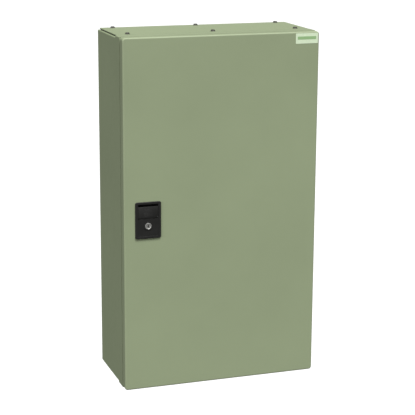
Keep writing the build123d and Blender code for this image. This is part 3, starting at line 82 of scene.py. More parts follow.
# The light: three soft suns under a pale sky. Each has where it comes from, its strength and its width in degrees.
SUNS = {
    "key": ((0.12, -0.42, 0.9), 3.98, 22),
    "left_fill": ((-0.8, -0.5, 0.3), 1.54, 60),
    "back_fill": ((0.5, 1.0, -0.35), 0.9, 20),
}
SKY_STRENGTH = 0.12
FLOOR_DROP = 0.9  # metres below the hung enclosure
FLOOR_HALF = 60


# ------------------------------------------------------------------ node helpers
class Surface:
    """A material under construction: its shader, and short calls that add and join nodes."""

    def __init__(self, name, metallic=0.0):
        self.material = bpy.data.materials.new(name)
        self.material.use_nodes = True
        self.tree = self.material.node_tree
        self.shader = self.tree.nodes["Principled BSDF"]
        self.set(Metallic=metallic)
        self.coords = self.tree.nodes.new("ShaderNodeTexCoord").outputs["Object"]

    def set(self, **values):
        """Sets constants on the shader's own sockets; underscores stand for spaces."""
        for key, value in values.items():
            self.shader.inputs[key.replace("_", " ")].default_value = value

    def link(self, source, target):
        """Joins an output socket to an input socket."""
        self.tree.links.new(source, target)

    def stretched(self, x, y, z):
        """The object coordinates, scaled along each axis."""
        node = self.tree.nodes.new("ShaderNodeMapping")
        node.inputs["Scale"].default_value = (x, y, z)
        self.link(self.coords, node.inputs["Vector"])
        return node.outputs["Vector"]

    def noise(self, scale, detail=3.0, roughness=0.5, coords=None):
        node = self.tree.nodes.new("ShaderNodeTexNoise")
        node.inputs["Scale"].default_value = scale
        node.inputs["Detail"].default_value = detail
        node.inputs["Roughness"].default_value = roughness
        self.link(coords or self.coords, node.inputs["Vector"])
        return node.outputs["Fac"]

    def cells(self, scale, output="Color"):
        node = self.tree.nodes.new("ShaderNodeTexVoronoi")
        node.inputs["Scale"].default_value = scale
        self.link(self.coords, node.inputs["Vector"])
        return node.outputs[output]

    def waves(self, scale, distortion=0.0, direction="Z"):
        node = self.tree.nodes.new("ShaderNodeTexWave")
        node.bands_direction = direction
        node.inputs["Scale"].default_value = scale
        node.inputs["Distortion"].default_value = distortion
        self.link(self.coords, node.inputs["Vector"])
        return node.outputs["Fac"]

    def spread(self, value, low, high, start=0.3, end=0.7):
        """Maps a texture value onto a range."""
        node = self.tree.nodes.new("ShaderNodeMapRange")
        node.inputs["From Min"].default_value = start
        node.inputs["From Max"].default_value = end
        node.inputs["To Min"].default_value = low
        node.inputs["To Max"].default_value = high
        self.link(value, node.inputs["Value"])
        return node.outputs["Result"]

    def blend(self, factor, first, second):
        """A colour between two colours or sockets."""
        node = self.tree.nodes.new("ShaderNodeMix")
        node.data_type = "RGBA"
        self.link(factor, node.inputs["Factor"])
        for name, value in (("A", first), ("B", second)):
            socket = [s for s in node.inputs if s.name == name and s.type == "RGBA"][0]
            if isinstance(value, tuple):
                socket.default_value = (*value, 1)
            else:
                self.link(value, socket)
        return [s for s in node.outputs if s.type == "RGBA"][0]

    def colour(self, socket):
        self.link(socket, self.shader.inputs["Base Color"])

    def roughness(self, socket):
        self.link(socket, self.shader.inputs["Roughness"])

    def bump(self, height, strength, distance, under=None):
        """Adds relief, on top of another bump's normal if one is given."""
        node = self.tree.nodes.new("ShaderNodeBump")
        node.inputs["Strength"].default_value = strength
        node.inputs["Distance"].default_value = distance
        self.link(height, node.inputs["Height"])
        if under:
            self.link(under, node.inputs["Normal"])
        self.link(node.outputs["Normal"], self.shader.inputs["Normal"])
        return node.outputs["Normal"]

    def soft_edges(self, radius):
        """A normal that rounds the sharp edges a little."""
        node = self.tree.nodes.new("ShaderNodeBevel")
        node.samples = 4
        node.inputs["Radius"].default_value = radius
        self.link(node.outputs["Normal"], self.shader.inputs["Normal"])
        return node.outputs["Normal"]


def tinted(colour, factor):
    """A colour made darker or lighter, held at white."""
    return tuple(min(1.0, c * factor) for c in colour)


# ------------------------------------------------------------------ materials
def powder_coat(name, colour):
    """Semi-gloss powder coat: cloudy tone, orange peel and fine grain."""
    s = Surface(name)
    cloud = s.noise(5, 4, 0.55)
    grain = s.noise(1900, 2)
    base = s.blend(s.spread(cloud, 0, 1), tinted(colour, 0.955), tinted(colour, 1.03))
    s.colour(s.blend(s.spread(grain, 0, 0.16), base, tinted(colour, 0.72)))
    s.roughness(s.spread(s.noise(60, 5, 0.65), 0.48, 0.6))
    peel = s.bump(s.noise(420, 2, 0.4), 0.10, 0.35 * MM, s.soft_edges(0.2 * MM))
    s.bump(grain, 0.10, 0.08 * MM, peel)
    s.set(Coat_Weight=0.05, Coat_Roughness=0.35)
    return s.material


def galvanised(name):
    """Galvanised sheet: grey spangle of mixed brightness."""
    s = Surface(name, metallic=0.85)
    spangle = s.cells(75)
    tone = s.blend(s.spread(spangle, 0, 1, 0.1, 0.9), (0.42, 0.44, 0.46), (0.66, 0.68, 0.70))
    s.colour(s.blend(s.spread(s.noise(9, 4), 0, 0.4), tone, (0.55, 0.56, 0.56)))
    s.roughness(s.spread(spangle, 0.32, 0.52, 0.1, 0.9))
    s.bump(s.noise(350, 3), 0.08, 0.1 * MM, s.soft_edges(0.4 * MM))
    return s.material


def plated(name, colour, tint, roughness=0.3, metallic=1.0):
    """Plated or machined metal: cloudy tint, fine turning marks."""
    s = Surface(name, metallic=metallic)
    s.colour(s.blend(s.spread(s.noise(55, 4, 0.6), 0, 1), colour, tint))
    marks = s.noise(900, 3, 0.6, s.stretched(1, 1, 0.15))
    s.roughness(s.spread(marks, roughness - 0.07, roughness + 0.12))
    s.bump(marks, 0.12, 0.05 * MM, s.soft_edges(0.3 * MM))
    return s.material


def moulded(name, colour, roughness=0.5, grain=1300, gloss=0.0):
    """Moulded plastic: fine spark-eroded grain, faint flow shading."""
    s = Surface(name)
    flow = s.noise(16, 4, 0.6)
    speck = s.noise(grain, 2, 0.5)
    base = s.blend(s.spread(flow, 0, 1), tinted(colour, 0.9), tinted(colour, 1.08))
    s.colour(s.blend(s.spread(speck, 0, 0.12), base, tinted(colour, 0.7)))
    s.roughness(s.spread(flow, roughness - 0.05, roughness + 0.08))
    s.bump(speck, 0.16, 0.06 * MM, s.soft_edges(0.45 * MM))
    s.set(Coat_Weight=gloss, Coat_Roughness=0.12)
    return s.material


def foam(name, colour):
    """Closed-cell foam: a dull skin with small pitted hollows, painted shade darkening each hollow and painted
    light lifting the rims between them.
    """
    s = Surface(name)
    pit_relief_and_shade = s.cells(900, "Distance")
    # Painted shade darkens the bottom of each pit and painted light lifts the rims between, following the relief.
    s.colour(s.blend(s.spread(pit_relief_and_shade, 0, 1, 0.05, 0.5), tinted(colour, 0.6), tinted(colour, 1.5)))
    s.roughness(s.spread(s.noise(200, 3), 0.75, 0.95))
    s.bump(pit_relief_and_shade, 0.5, 0.15 * MM)
    return s.material


def clear_plastic(name):
    """Clear polycarbonate with faint scuffs."""
    s = Surface(name)
    s.colour(s.blend(s.spread(s.noise(14, 3), 0, 1), (0.84, 0.88, 0.9), (0.93, 0.95, 0.96)))
    scuffs = s.noise(160, 5, 0.7, s.stretched(1, 1, 6))
    s.roughness(s.spread(scuffs, 0.03, 0.16, 0.45, 0.75))
    s.set(Transmission_Weight=0.92, IOR=1.2)
    return s.material


def display_glass(name):
    """A dark display window over a fine dot grid."""
    s = Surface(name)
    grid = s.waves(330, 0, "X")
    rows = s.waves(330, 0, "Z")
    lit = s.blend(s.spread(grid, 0, 1, 0.2, 0.8), (0.012, 0.03, 0.03), (0.02, 0.055, 0.05))
    s.colour(s.blend(s.spread(rows, 0, 1, 0.2, 0.8), lit, (0.015, 0.04, 0.04)))
    s.roughness(s.spread(s.noise(120, 4), 0.06, 0.16))
    s.set(Coat_Weight=0.8, Coat_Roughness=0.05)
    return s.material


def striped_sheath(name, first, second):
    """Insulation with stripes of two colours."""
    s = Surface(name)
    stripes = s.waves(70, 0.4, "DIAGONAL")
    s.colour(s.blend(s.spread(stripes, 0, 1, 0.42, 0.58), first, second))
    s.roughness(s.spread(s.noise(300, 3), 0.38, 0.55))
    s.bump(s.noise(900, 2), 0.1, 0.04 * MM)
    return s.material


def plain_label(name, colour):
    """A plain pale adhesive label with paper-like fibre."""
    s = Surface(name)
    fibre = s.noise(700, 5, 0.7, s.stretched(0.35, 1, 1))
    s.colour(s.blend(s.spread(fibre, 0, 1), tinted(colour, 0.93), tinted(colour, 1.05)))
    s.roughness(s.spread(s.noise(80, 3), 0.35, 0.55))
    s.bump(fibre, 0.1, 0.03 * MM)
    return s.material


def lamp_lens(name, colour):
    """A tinted indicator lens."""
    s = Surface(name)
    s.colour(s.blend(s.spread(s.noise(400, 3), 0, 1), tinted(colour, 0.85), tinted(colour, 1.1)))
    s.roughness(s.spread(s.noise(900, 2), 0.1, 0.22))
    s.set(Coat_Weight=0.8, Coat_Roughness=0.05)
    return s.material


slot_materials = {
    "enclosure_paint": powder_coat("enclosure_paint", (0.318, 0.376, 0.229)),
    "galvanised": galvanised("galvanised"),
    "zinc_steel": plated("zinc_steel", (0.60, 0.61, 0.62), (0.70, 0.70, 0.66)),
    "gasket_foam": foam("gasket_foam", (0.035, 0.036, 0.036)),
    "lock_black": powder_coat("lock_black", (0.0115, 0.0115, 0.0105)),
    "barrel_chrome": plated("barrel_chrome", (0.34, 0.34, 0.32), (0.43, 0.43, 0.41), 0.42, 0.6),
    "label_pale": plain_label("label_pale", (0.74, 0.87, 0.63)),
    "black_mould": moulded("black_mould", (0.03, 0.031, 0.033), 0.45),
    "grey_mould": moulded("grey_mould", (0.33, 0.34, 0.35)),
    "pale_mould": moulded("pale_mould", (0.66, 0.66, 0.62), 0.42, 1500, 0.1),
    "duct_grey": moulded("duct_grey", (0.42, 0.44, 0.45), 0.48, 700),
    "clear_cover": clear_plastic("clear_cover"),
    "display_window": display_glass("display_window"),
    "copper": plated("copper", (0.72, 0.36, 0.22), (0.80, 0.47, 0.31), 0.32),
    "brass": plated("brass", (0.70, 0.53, 0.25), (0.78, 0.62, 0.34), 0.28),
    "gear_nylon": moulded("gear_nylon", (0.74, 0.71, 0.60), 0.4, 900),
    "plug_green": moulded("plug_green", (0.03, 0.26, 0.09), 0.4),
    "signal_red": moulded("signal_red", (0.5, 0.02, 0.015), 0.35, 900, 0.3),
    "button_dark": moulded("button_dark", (0.06, 0.065, 0.075), 0.4),
    "lead_sheath": moulded("lead_sheath", (0.02, 0.02, 0.024), 0.42, 500),
    "earth_sheath": striped_sheath("earth_sheath", (0.52, 0.50, 0.02), (0.03, 0.22, 0.04)),
}

# The gland-plate screws are darker and duller than the rest of their slot.
dark_zinc = plated("dark_zinc", (0.10, 0.10, 0.085), (0.15, 0.15, 0.13), 0.5, 0.7)

# In order from the lowest lamp up.
lamp_materials = {
    "lamp_fault": lamp_lens("lamp_fault", (0.45, 0.02, 0.015)),
    "lamp_load": lamp_lens("lamp_load", (0.65, 0.33, 0.02)),
    "lamp_source_2": lamp_lens("lamp_source_2", (0.04, 0.42, 0.08)),
    "lamp_source_1": lamp_lens("lamp_source_1", (0.04, 0.42, 0.08)),
}


def dress_cad_nodes():
    """Gives each CAD node the material of its slot."""
    for entry in frame["record"]["subparts"]:
        mesh = frame["nodes"][entry["node"]].data
        mesh.materials.clear()
        mesh.materials.append(slot_materials[entry["material_slot"]])


# ------------------------------------------------------------------ shapes
# Parts are bmeshes in millimetres, in the CAD's own frame, and are scaled to metres by finished().
def corners(node):
    """A CAD node's lowest and highest corners in millimetres."""
    low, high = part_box(node)
    return Vector(low) / MM, Vector(high) / MM


def middle(pair):
    """The point halfway between two corners."""
    return (pair[0] + pair[1]) / 2


def solids_of(node):
    """The corners of each separate solid in a CAD node, in order along X, then Z, in millimetres."""
    bm = bmesh.new()
    bm.from_mesh(frame["nodes"][node].data)
    bmesh.ops.remove_doubles(bm, verts=bm.verts, dist=0.002 * MM)
    seen = set()
    found = []
    for first in bm.verts:
        if first in seen:
            continue
        seen.add(first)
        stack = [first]
        points = []
        while stack:
            vert = stack.pop()
            points.append(vert.co / MM)
            for edge in vert.link_edges:
                other = edge.other_vert(vert)
                if other not in seen:
                    seen.add(other)
                    stack.append(other)
        low = Vector([min(point[i] for point in points) for i in range(3)])
        high = Vector([max(point[i] for point in points) for i in range(3)])
        found.append((low, high))
    bm.free()
    return sorted(found, key=lambda pair: (round(pair[0].x, 1), round(pair[0].z, 1)))


def arc(radius, angles):
    """Points round an arc, at angles in degrees."""
    return [(radius * math.cos(math.radians(a)), radius * math.sin(math.radians(a))) for a in angles]


def place(at, direction=FRONT, spin=0.0):
    """Puts a part's local Z along a direction, spun in degrees; facing the front, local Y stays up."""
    turn = Vector(direction).to_track_quat("Z", "Y").to_matrix().to_4x4()
    return Matrix.Translation(Vector(at)) @ turn @ Matrix.Rotation(math.radians(spin), 4, "Z")


def add(target, part, at=Matrix()):
    """Copies a part into a bmesh at a place."""
    mesh = bpy.data.meshes.new("part")
    part.to_mesh(mesh)
    mesh.transform(at)
    target.from_mesh(mesh)
    bpy.data.meshes.remove(mesh)


def lathe(profile, segments=32, flats=0.0, closed=False):
    """Revolves (radius, height) points about Z, trimmed to a hexagon if its width across flats is given."""
    bm = bmesh.new()
    rings = []
    for radius, height in profile:
        if radius == 0:
            rings.append([bm.verts.new((0, 0, height))])
            continue
        ring = []
        for i in range(segments):
            angle = 2 * math.pi * i / segments
            reach = radius
            if flats:
                off_flat = (angle + math.pi / 6) % (math.pi / 3) - math.pi / 6
                reach = min(radius, flats / 2 / math.cos(off_flat))
            ring.append(bm.verts.new((reach * math.cos(angle), reach * math.sin(angle), height)))
        rings.append(ring)
    pairs = list(zip(rings, rings[1:]))
    if closed:
        pairs.append((rings[-1], rings[0]))
    for lower, upper in pairs:
        for i in range(segments):
            j = (i + 1) % segments
            if len(lower) == 1:
                bm.faces.new((lower[0], upper[j], upper[i]))
            elif len(upper) == 1:
                bm.faces.new((lower[i], lower[j], upper[0]))
            else:
                bm.faces.new((lower[i], lower[j], upper[j], upper[i]))
    return bm


def round_edges(bm, size, segments):
    """Rounds every edge that turns by more than 30 degrees."""
    least = math.radians(30)
    sharp = [e for e in bm.edges if len(e.link_faces) == 2 and e.calc_face_angle(0) > least]
    bmesh.ops.bevel(bm, geom=sharp, offset=size, segments=segments, profile=0.5, affect="EDGES",
                    clamp_overlap=True)


def box(low, high, edge=0.0, segments=2):
    """A box between two corners, its edges rounded if a size is given."""
    bm = bmesh.new()
    bmesh.ops.create_cube(bm, size=1)
    low = Vector(low)
    size = Vector(high) - low
    for vert in bm.verts:
        vert.co = low + Vector([(vert.co[i] + 0.5) * size[i] for i in range(3)])
    bmesh.ops.recalc_face_normals(bm, faces=bm.faces)
    if edge:
        round_edges(bm, edge, segments)
    return bm


def prism(outline, length, edge=0.0, segments=2):
    """Extrudes an outline of (x, y) points along Z, its edges rounded if a size is given."""
    bm = bmesh.new()
    bottom = [bm.verts.new((x, y, 0)) for x, y in outline]
    top = [bm.verts.new((x, y, length)) for x, y in outline]
    bm.faces.new(bottom[::-1])
    bm.faces.new(top)
    for i in range(len(outline)):
        j = (i + 1) % len(outline)
        bm.faces.new((bottom[i], bottom[j], top[j], top[i]))
    bmesh.ops.recalc_face_normals(bm, faces=bm.faces)
    if edge:
        round_edges(bm, edge, segments)
    return bm


def as_object(bm):
    """Turns a bmesh into a scene object, for a modifier to work on."""
    mesh = bpy.data.meshes.new("part")
    bm.to_mesh(mesh)
    bm.free()
    made = bpy.data.objects.new("part", mesh)
    bpy.context.scene.collection.objects.link(made)
    return made


def carved(part, cutter):
    """Cuts one closed part out of another."""
    kept = as_object(part)
    tool = as_object(cutter)
    cut = kept.modifiers.new("cut", "BOOLEAN")
    cut.operation = "DIFFERENCE"
    cut.solver = "EXACT"
    cut.object = tool
    result = bpy.data.meshes.new_from_object(kept.evaluated_get(bpy.context.evaluated_depsgraph_get()))
    bm = bmesh.new()
    bm.from_mesh(result)
    for made in (kept, tool):
        mesh = made.data
        bpy.data.objects.remove(made)
        bpy.data.meshes.remove(mesh)
    bpy.data.meshes.remove(result)
    return bm


def rounded_loop(half_x, half_z, corner, steps=8):
    """Points round a rectangle with round corners, each with its outward direction."""
    loop = []
    for quarter, (side_x, side_z) in enumerate(((1, 1), (-1, 1), (-1, -1), (1, -1))):
        for step in range(steps + 1):
            angle = math.radians(90 * quarter + 90 * step / steps)
            out_x, out_z = math.cos(angle), math.sin(angle)
            x = side_x * (half_x - corner) + corner * out_x
            z = side_z * (half_z - corner) + corner * out_z
            loop.append((x, z, out_x, out_z))
    return loop


def swept_loop(loop, section):
    """Sweeps a closed section of (outward, forward) points round a loop in the X-Z plane."""
    bm = bmesh.new()
    rings = []
    for x, z, out_x, out_z in loop:
        rings.append([bm.verts.new((x + out_x * u, -forward, z + out_z * u)) for u, forward in section])
    for i, ring in enumerate(rings):
        following = rings[(i + 1) % len(rings)]
        for j in range(len(section)):
            k = (j + 1) % len(section)
            bm.faces.new((ring[j], ring[k], following[k], following[j]))
    return bm


def tube(points, radius):
    """A smooth round tube along given points, closed at both ends."""
    curve = bpy.data.curves.new("route", "CURVE")
    curve.dimensions = "3D"
    curve.bevel_depth = radius
    curve.bevel_resolution = 3
    curve.use_fill_caps = True
    curve.resolution_u = 10
    spline = curve.splines.new("NURBS")
    spline.points.add(len(points) - 1)
    for knot, point in zip(spline.points, points):
        knot.co = (*point, 1)
    spline.order_u = 3
    spline.use_endpoint_u = True
    made = bpy.data.objects.new("route", curve)
    bpy.context.scene.collection.objects.link(made)
    mesh = bpy.data.meshes.new_from_object(made.evaluated_get(bpy.context.evaluated_depsgraph_get()))
    bm = bmesh.new()
    bm.from_mesh(mesh)
    bmesh.ops.remove_doubles(bm, verts=bm.verts, dist=0.001)
    bpy.data.objects.remove(made)
    bpy.data.curves.remove(curve)
    bpy.data.meshes.remove(mesh)
    return bm


def slot_of(node):
    """The material slot that the record gives a CAD node."""
    return next(entry["material_slot"] for entry in frame["record"]["subparts"] if entry["node"] == node)


def finished(bm, name, body, *nodes, slot=None, material=None, smooth=32):
    """Turns closed parts into a piece that rides on a body and stands for the CAD nodes given."""
    bmesh.ops.recalc_face_normals(bm, faces=bm.faces)
    bm.transform(Matrix.Scale(MM, 4))
    mesh = bpy.data.meshes.new(name)
    bm.to_mesh(mesh)
    bm.free()
    mesh.shade_smooth()
    mesh.set_sharp_from_angle(angle=math.radians(smooth))
    slot = slot or slot_of(nodes[0])
    mesh.materials.append(material or slot_materials[slot])
    piece = bpy.data.objects.new(name, mesh)
    bpy.context.scene.collection.objects.link(piece)
    if body:
        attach(piece, body)
    if nodes:
        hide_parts(*nodes)
    return piece


# ------------------------------------------------------------------ fasteners
def pan_screw(radius, height, base=0.0, shank=0.0, recess="cross"):
    """A pan-head screw standing on Z, with a cross or a slot."""
    profile = [(0, base - shank)]
    if shank:
        profile += [(radius * 0.58, base - shank), (radius * 0.58, base)]
    profile += [(radius * 0.97, base), (radius, base + height * 0.12), (radius, base + height * 0.38)]
    for step in range(1, 6):
        angle = math.radians(90 * step / 6)
        reach = radius * (1 - 0.42 * (1 - math.cos(angle)))
        profile.append((reach, base + height * (0.38 + 0.62 * math.sin(angle))))
    top = base + height
    profile += [(radius * 0.5, top), (0, top)]
    part = lathe(profile)
    if recess == "slot":
        half, width, floor = radius * 1.2, radius * 0.12, top - height * 0.45
        return carved(part, box((-half, -width, floor), (half, width, top + 1)))
    half, width, floor = radius * 0.52, radius * 0.11, top - height * 0.55
    for turn in (0, 90):
        blade = box((-half, -width, floor), (half, width, top + 1))
        for vert in blade.verts:
            if vert.co.z < top:
                vert.co.x *= 0.45
        blade.transform(Matrix.Rotation(math.radians(turn), 4, "Z"))
        part = carved(part, blade)
    return part


def hex_nut(flats, height, bore):
    """A chamfered nut standing on Z."""
    edge = flats / 2 * 0.96
    wide = flats / 2 * 1.16
    rise = height * 0.12
    profile = [(bore, 0), (edge, 0), (wide, rise), (wide, height - rise), (edge, height), (bore, height)]
    return lathe(profile, 48, flats, closed=True)


def hex_head(flats, height):
    """A chamfered bolt head standing on Z."""
    edge = flats / 2 * 0.95
    wide = flats / 2 * 1.16
    rise = height * 0.16
    return lathe([(0, 0), (wide, 0), (wide, height - rise), (edge, height), (0, height)], 48, flats)


def washer(radius, bore, height):
    """A flat washer with broken edges, standing on Z."""
    edge = height * 0.2
    rim = [(radius - edge, 0), (radius, edge), (radius, height - edge), (radius - edge, height)]
    return lathe([(bore, 0), *rim, (bore, height)], 36, closed=True)


def threaded_rod(radius, low, high, pitch=1.0):
    """A rod standing on Z with shallow thread rings and a chamfered end."""
    root = radius * 0.9
    profile = [(0, low)]
    for turn in range(int((high - low - 1.0) / pitch)):
        base = low + turn * pitch
        profile += [(root, base), (radius, base + pitch * 0.5)]
    profile += [(root, high - 1.0), (root, high - 0.5), (radius * 0.7, high), (0, high)]
    return lathe(profile, 20)


# ------------------------------------------------------------------ outside
def make_gland_screws():
    """Cross-head screws on dished washers, above and below."""
    cup = lathe([(2.6, 0), (5.2, 0), (5.2, 0.3), (4.9, 0.6), (4.2, 0.95), (2.6, 1.0)], 36, closed=True)
    screw = pan_screw(4.0, 2.2, base=1.0, shank=8.0)
    turn = 37  # degrees from one screw to the next
    plate_low, plate_high = corners("gland_plates")
    bm = bmesh.new()
    for number, pair in enumerate(solids_of("gland_screws")):
        centre = middle(pair)
        up = 1 if centre.z > 0 else -1
        seat = plate_high.z if up > 0 else plate_low.z
        at = place((centre.x, centre.y, seat), (0, 0, up), turn * number)
        add(bm, cup, at)
        add(bm, screw, at)
    finished(bm, "gland_plate_screws", "enclosure", "gland_screws", material=dark_zinc)


def make_lock_flap():
    """The flap over the lock's finger recess, with a column of grip ribs."""
    low, high = corners("lock_flap")
    centre = middle((low, high))
    width = high.x - low.x
    thick = high.y - low.y
    pivot_z = low.z + thick / 2
    outline = arc(-thick / 2, range(0, 181, 20))
    outline += [(thick / 2, high.z - pivot_z), (-thick / 2, high.z - pivot_z)]
    along_x = Matrix(((0, 0, 1, low.x), (1, 0, 0, centre.y), (0, 1, 0, pivot_z), (0, 0, 0, 1)))
    bore_radius = 1.15
    bore = lathe([(0, -1), (bore_radius, -1), (bore_radius, width + 1), (0, width + 1)], 20)
    bm = bmesh.new()
    add(bm, carved(prism(outline, width, 0.45), bore), along_x)
    rib_half = 0.21 * width
    rib_pitch = 2.6
    rib_height = 0.9
    for step in range(6):
        z = low.z + thick + 1.2 + rib_pitch * step
        add(bm, box((centre.x - rib_half, low.y - 0.15, z),
                    (centre.x + rib_half, low.y + 0.4, z + rib_height), 0.1))
    finished(bm, "swing_flap", "lock_flap", "lock_flap", smooth=25)


def make_key_barrel():
    """The key cylinder: a raised rim round a sunk face, with the key's slot, and the cam's screw behind."""
    low, high = corners("key_barrel")
    centre = middle((low, high))
    radius = (high.x - low.x) / 2
    rear = corners("lock_frame")[1].y
    neck = high.y - rear
    neck_radius = 4.0
    length = rear - low.y
    face = length - 0.5
    profile = [(0, -neck), (neck_radius, -neck), (neck_radius, 0), (radius, 0), (radius, face),
               (radius - 0.25, length - 0.12), (radius - 0.7, length), (radius - 1.3, length),
               (radius - 1.6, length - 0.25), (radius - 1.9, face), (0, face)]
    slot_half = (0.8, 3.1)
    hole_radius = 1.8
    hole = [(0, length - 5.5), (hole_radius, length - 5.5), (hole_radius, length + 1), (0, length + 1)]
    barrel = carved(lathe(profile, 48), box((-slot_half[0], -slot_half[1], length - 5), (*slot_half, length + 1)))
    barrel = carved(barrel, lathe(hole, 24))
    bm = bmesh.new()
    add(bm, barrel, place((centre.x, rear, centre.z)))
    finished(bm, "key_cylinder", "lock_barrel", "key_barrel")
    bm = bmesh.new()
    add(bm, washer(6.5, 4.1, 1.0), place((centre.x, corners("lock_cam")[1].y, centre.z), BACK))
    add(bm, hex_head(8.0, 2.6), place((centre.x, high.y, centre.z), BACK))
    finished(bm, "cam_screw", "lock_barrel", slot="zinc_steel")


def label_layer(name, half_x, half_z, centre, thickness, material=None, nodes=()):
    """One thin layer of the door's label."""
    outline = [(x, z) for x, z, _, _ in rounded_loop(half_x, half_z, 1.0, 5)]
    bm = bmesh.new()
    add(bm, prism(outline, thickness, 0.06, 1), place(centre))
    finished(bm, name, "door", *nodes, slot="label_pale", material=material)


def make_label():
    """A plain pale label with a bare green band, and nothing printed on it."""
    low, high = corners("door_label")
    centre = middle((low, high))
    half_x = (high.x - low.x) / 2
    half_z = (high.z - low.z) / 2
    thick = high.y - low.y
    label_layer("label_plate", half_x, half_z, (centre.x, high.y, centre.z), thick * 0.7, nodes=("door_label",))
    band_centre = (centre.x, high.y - thick * 0.65, centre.z + half_z * 0.1)
    green = plain_label("label_green", (0.33, 0.52, 0.25))
    label_layer("label_band", half_x * 0.84, half_z * 0.3, band_centre, thick * 0.3, green)


def make_door_gasket():
    """A foam seal with a domed face and the faint groove that the body's lip presses in it."""
    low, high = corners("door_gasket")
    back = -low.y
    face = -high.y
    half = 5.0
    groove_depth = 0.4
    groove_half = 1.3
    corner = 7.0
    section = []
    for step in range(13):
        u = half * math.cos(math.pi * step / 12)
        rise = math.sin(math.pi * step / 12)
        groove = groove_depth * math.exp(-((u / groove_half) ** 2))
        section.append((u, back - (back - face) * (0.35 + 0.65 * rise) + groove))
    section += [(-half, back), (0, back), (half, back)]
    loop = rounded_loop(high.x - half, high.z - half, corner, 10)
    finished(swept_loop(loop, section), "door_seal", "door", "door_gasket", smooth=60)


def make_hinge_caps():
    """Domed heads at the two ends of each hinge pin."""
    axis = middle(corners("hinge_pins"))
    dome = lathe([(0, 0), (3.7, 0), (3.6, 0.5), (2.7, 1.05), (1.4, 1.35), (0, 1.45)], 28)
    for name, body, node, end, up in (("hinge_pin_heads", "door", "hinge_door_leaves", 1, 1),
                                      ("hinge_pin_feet", "enclosure", "hinge_body_leaves", 0, -1)):
        bm = bmesh.new()
        for pair in solids_of(node):
            add(bm, dome, place((axis.x, axis.y, pair[end].z), (0, 0, up)))
        finished(bm, name, body, slot="zinc_steel")


# ------------------------------------------------------------------ earthing
def make_earth_studs():
    """Welded studs with thread, and a chamfered nut on each."""
    stud = threaded_rod(3.0, 0, 18.5)
    bore = 2.6
    nut_seat = 6.5
    for name, body, node, inward in (("body_earth_fixing", "enclosure", "body_earth_stud", (-1, 0, 0)),
                                     ("door_earth_fixing", "door", "door_earth_stud", BACK)):
        low, high = corners(node)
        centre = middle((low, high))
        root = (high.x, centre.y, centre.z) if body == "enclosure" else (centre.x, low.y, centre.z)
        bm = bmesh.new()
        at = place(root, inward)
        add(bm, washer(6.0, bore, 1.5), at)
        add(bm, stud, at)
        add(bm, hex_nut(10.0, 5.0, bore), at @ Matrix.Translation((0, 0, nut_seat)))
        finished(bm, name, body, node)


def ring_lug():
    """A crimped ring lug: its ring round local Z, its barrel down local Y."""
    bore = 4.0
    half = 0.8
    ring = [(bore, -half), (6.2, -half), (6.5, -0.5), (6.5, 0.5), (6.2, half), (bore, half)]
    barrel = [(0, 0), (2.9, 0), (3.1, 0.4), (3.1, 2.6), (2.7, 3.2), (2.7, 4.2), (3.1, 4.8), (3.1, 7.6), (2.9, 8),
              (0, 8)]
    bm = bmesh.new()
    add(bm, lathe(ring, 40, closed=True))
    add(bm, box((-2.6, -9.5, -half), (2.6, -5.2, half), 0.3))
    add(bm, lathe(barrel, 24), place((0, -9, 0)))
    return bm


def make_earth_lead():
    """The lead's loop from the body's stud to the door's."""
    low, high = corners("earth_lead")
    body_stud = middle(corners("body_earth_stud"))
    door_stud = middle(corners("door_earth_stud"))
    radius = 2.2
    body_end = Vector((high.x - radius, body_stud.y, body_stud.z))
    door_end = Vector((door_stud.x, low.y + radius, door_stud.z))
    route = [
        body_end + Vector((0, 0, -12)),
        body_end + Vector((0, 0, -24)),
        body_end + Vector((-2, -10, -36)),
        body_end + Vector((-9, -31, -46)),
        body_end + Vector((-11, -43, -47)),
        door_end + Vector((14, 4, -45)),
        door_end + Vector((2, 1, -36)),
        door_end + Vector((0, 0, -24)),
        door_end + Vector((0, 0, -12)),
    ]
    lead = finished(tube(route, radius), "earth_lead_loop", None, "earth_lead")
    quarter = math.radians(90)
    side_on = Matrix.Rotation(quarter, 4, "Z") @ Matrix.Rotation(quarter, 4, "X")
    bm = bmesh.new()
    add(bm, ring_lug(), Matrix.Translation(body_end) @ side_on)
    add(bm, ring_lug(), place(door_end))
    lugs = finished(bm, "earth_lead_lugs", None, slot="zinc_steel")
    for piece in (lead, lugs):
        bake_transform(piece)


def make_earth_bar_screws():
    """Slotted screws, each left at its own angle."""
    bar_front = corners("earth_bar")[0].y
    screw = pan_screw(4.4, 3.4, shank=7.0, recess="slot")
    bm = bmesh.new()
    for pair in solids_of("earth_bar_screws"):
        centre = middle(pair)
        add(bm, screw, place((centre.x, bar_front, centre.z), FRONT, random.uniform(-80, 80)))
    finished(bm, "earth_clamp_screws", "enclosure", "earth_bar_screws")


# ------------------------------------------------------------------ mounting plate
def make_plate_fixings():
    """Shouldered studs with thread, and a washer and nut on each."""
    low, high = corners("plate_studs")
    plate_front, plate_back = (corner.y for corner in corners("mounting_plate"))
    shoulder = high.y - plate_back
    collar = lathe([(0, 0), (7, 0), (7, shoulder), (0, shoulder)], 32)
    thread = threaded_rod(3.95, 0.5, high.y - low.y, 1.25)
    washer_height = 1.6
    studs = bmesh.new()
    nuts = bmesh.new()
    for pair in solids_of("plate_nuts"):
        centre = middle(pair)
        seat = place((centre.x, high.y, centre.z))
        add(studs, collar, seat)
        add(studs, thread, seat)
        at = place((centre.x, plate_front, centre.z), FRONT, random.uniform(0, 60))
        add(nuts, washer(8.4, 4.2, washer_height), at)
        add(nuts, hex_nut(13.0, 4.9, 4.1), at @ Matrix.Translation((0, 0, washer_height)))
    finished(studs, "plate_stud_threads", "enclosure", "plate_studs")
    finished(nuts, "plate_nuts_and_washers", "enclosure", "plate_nuts")


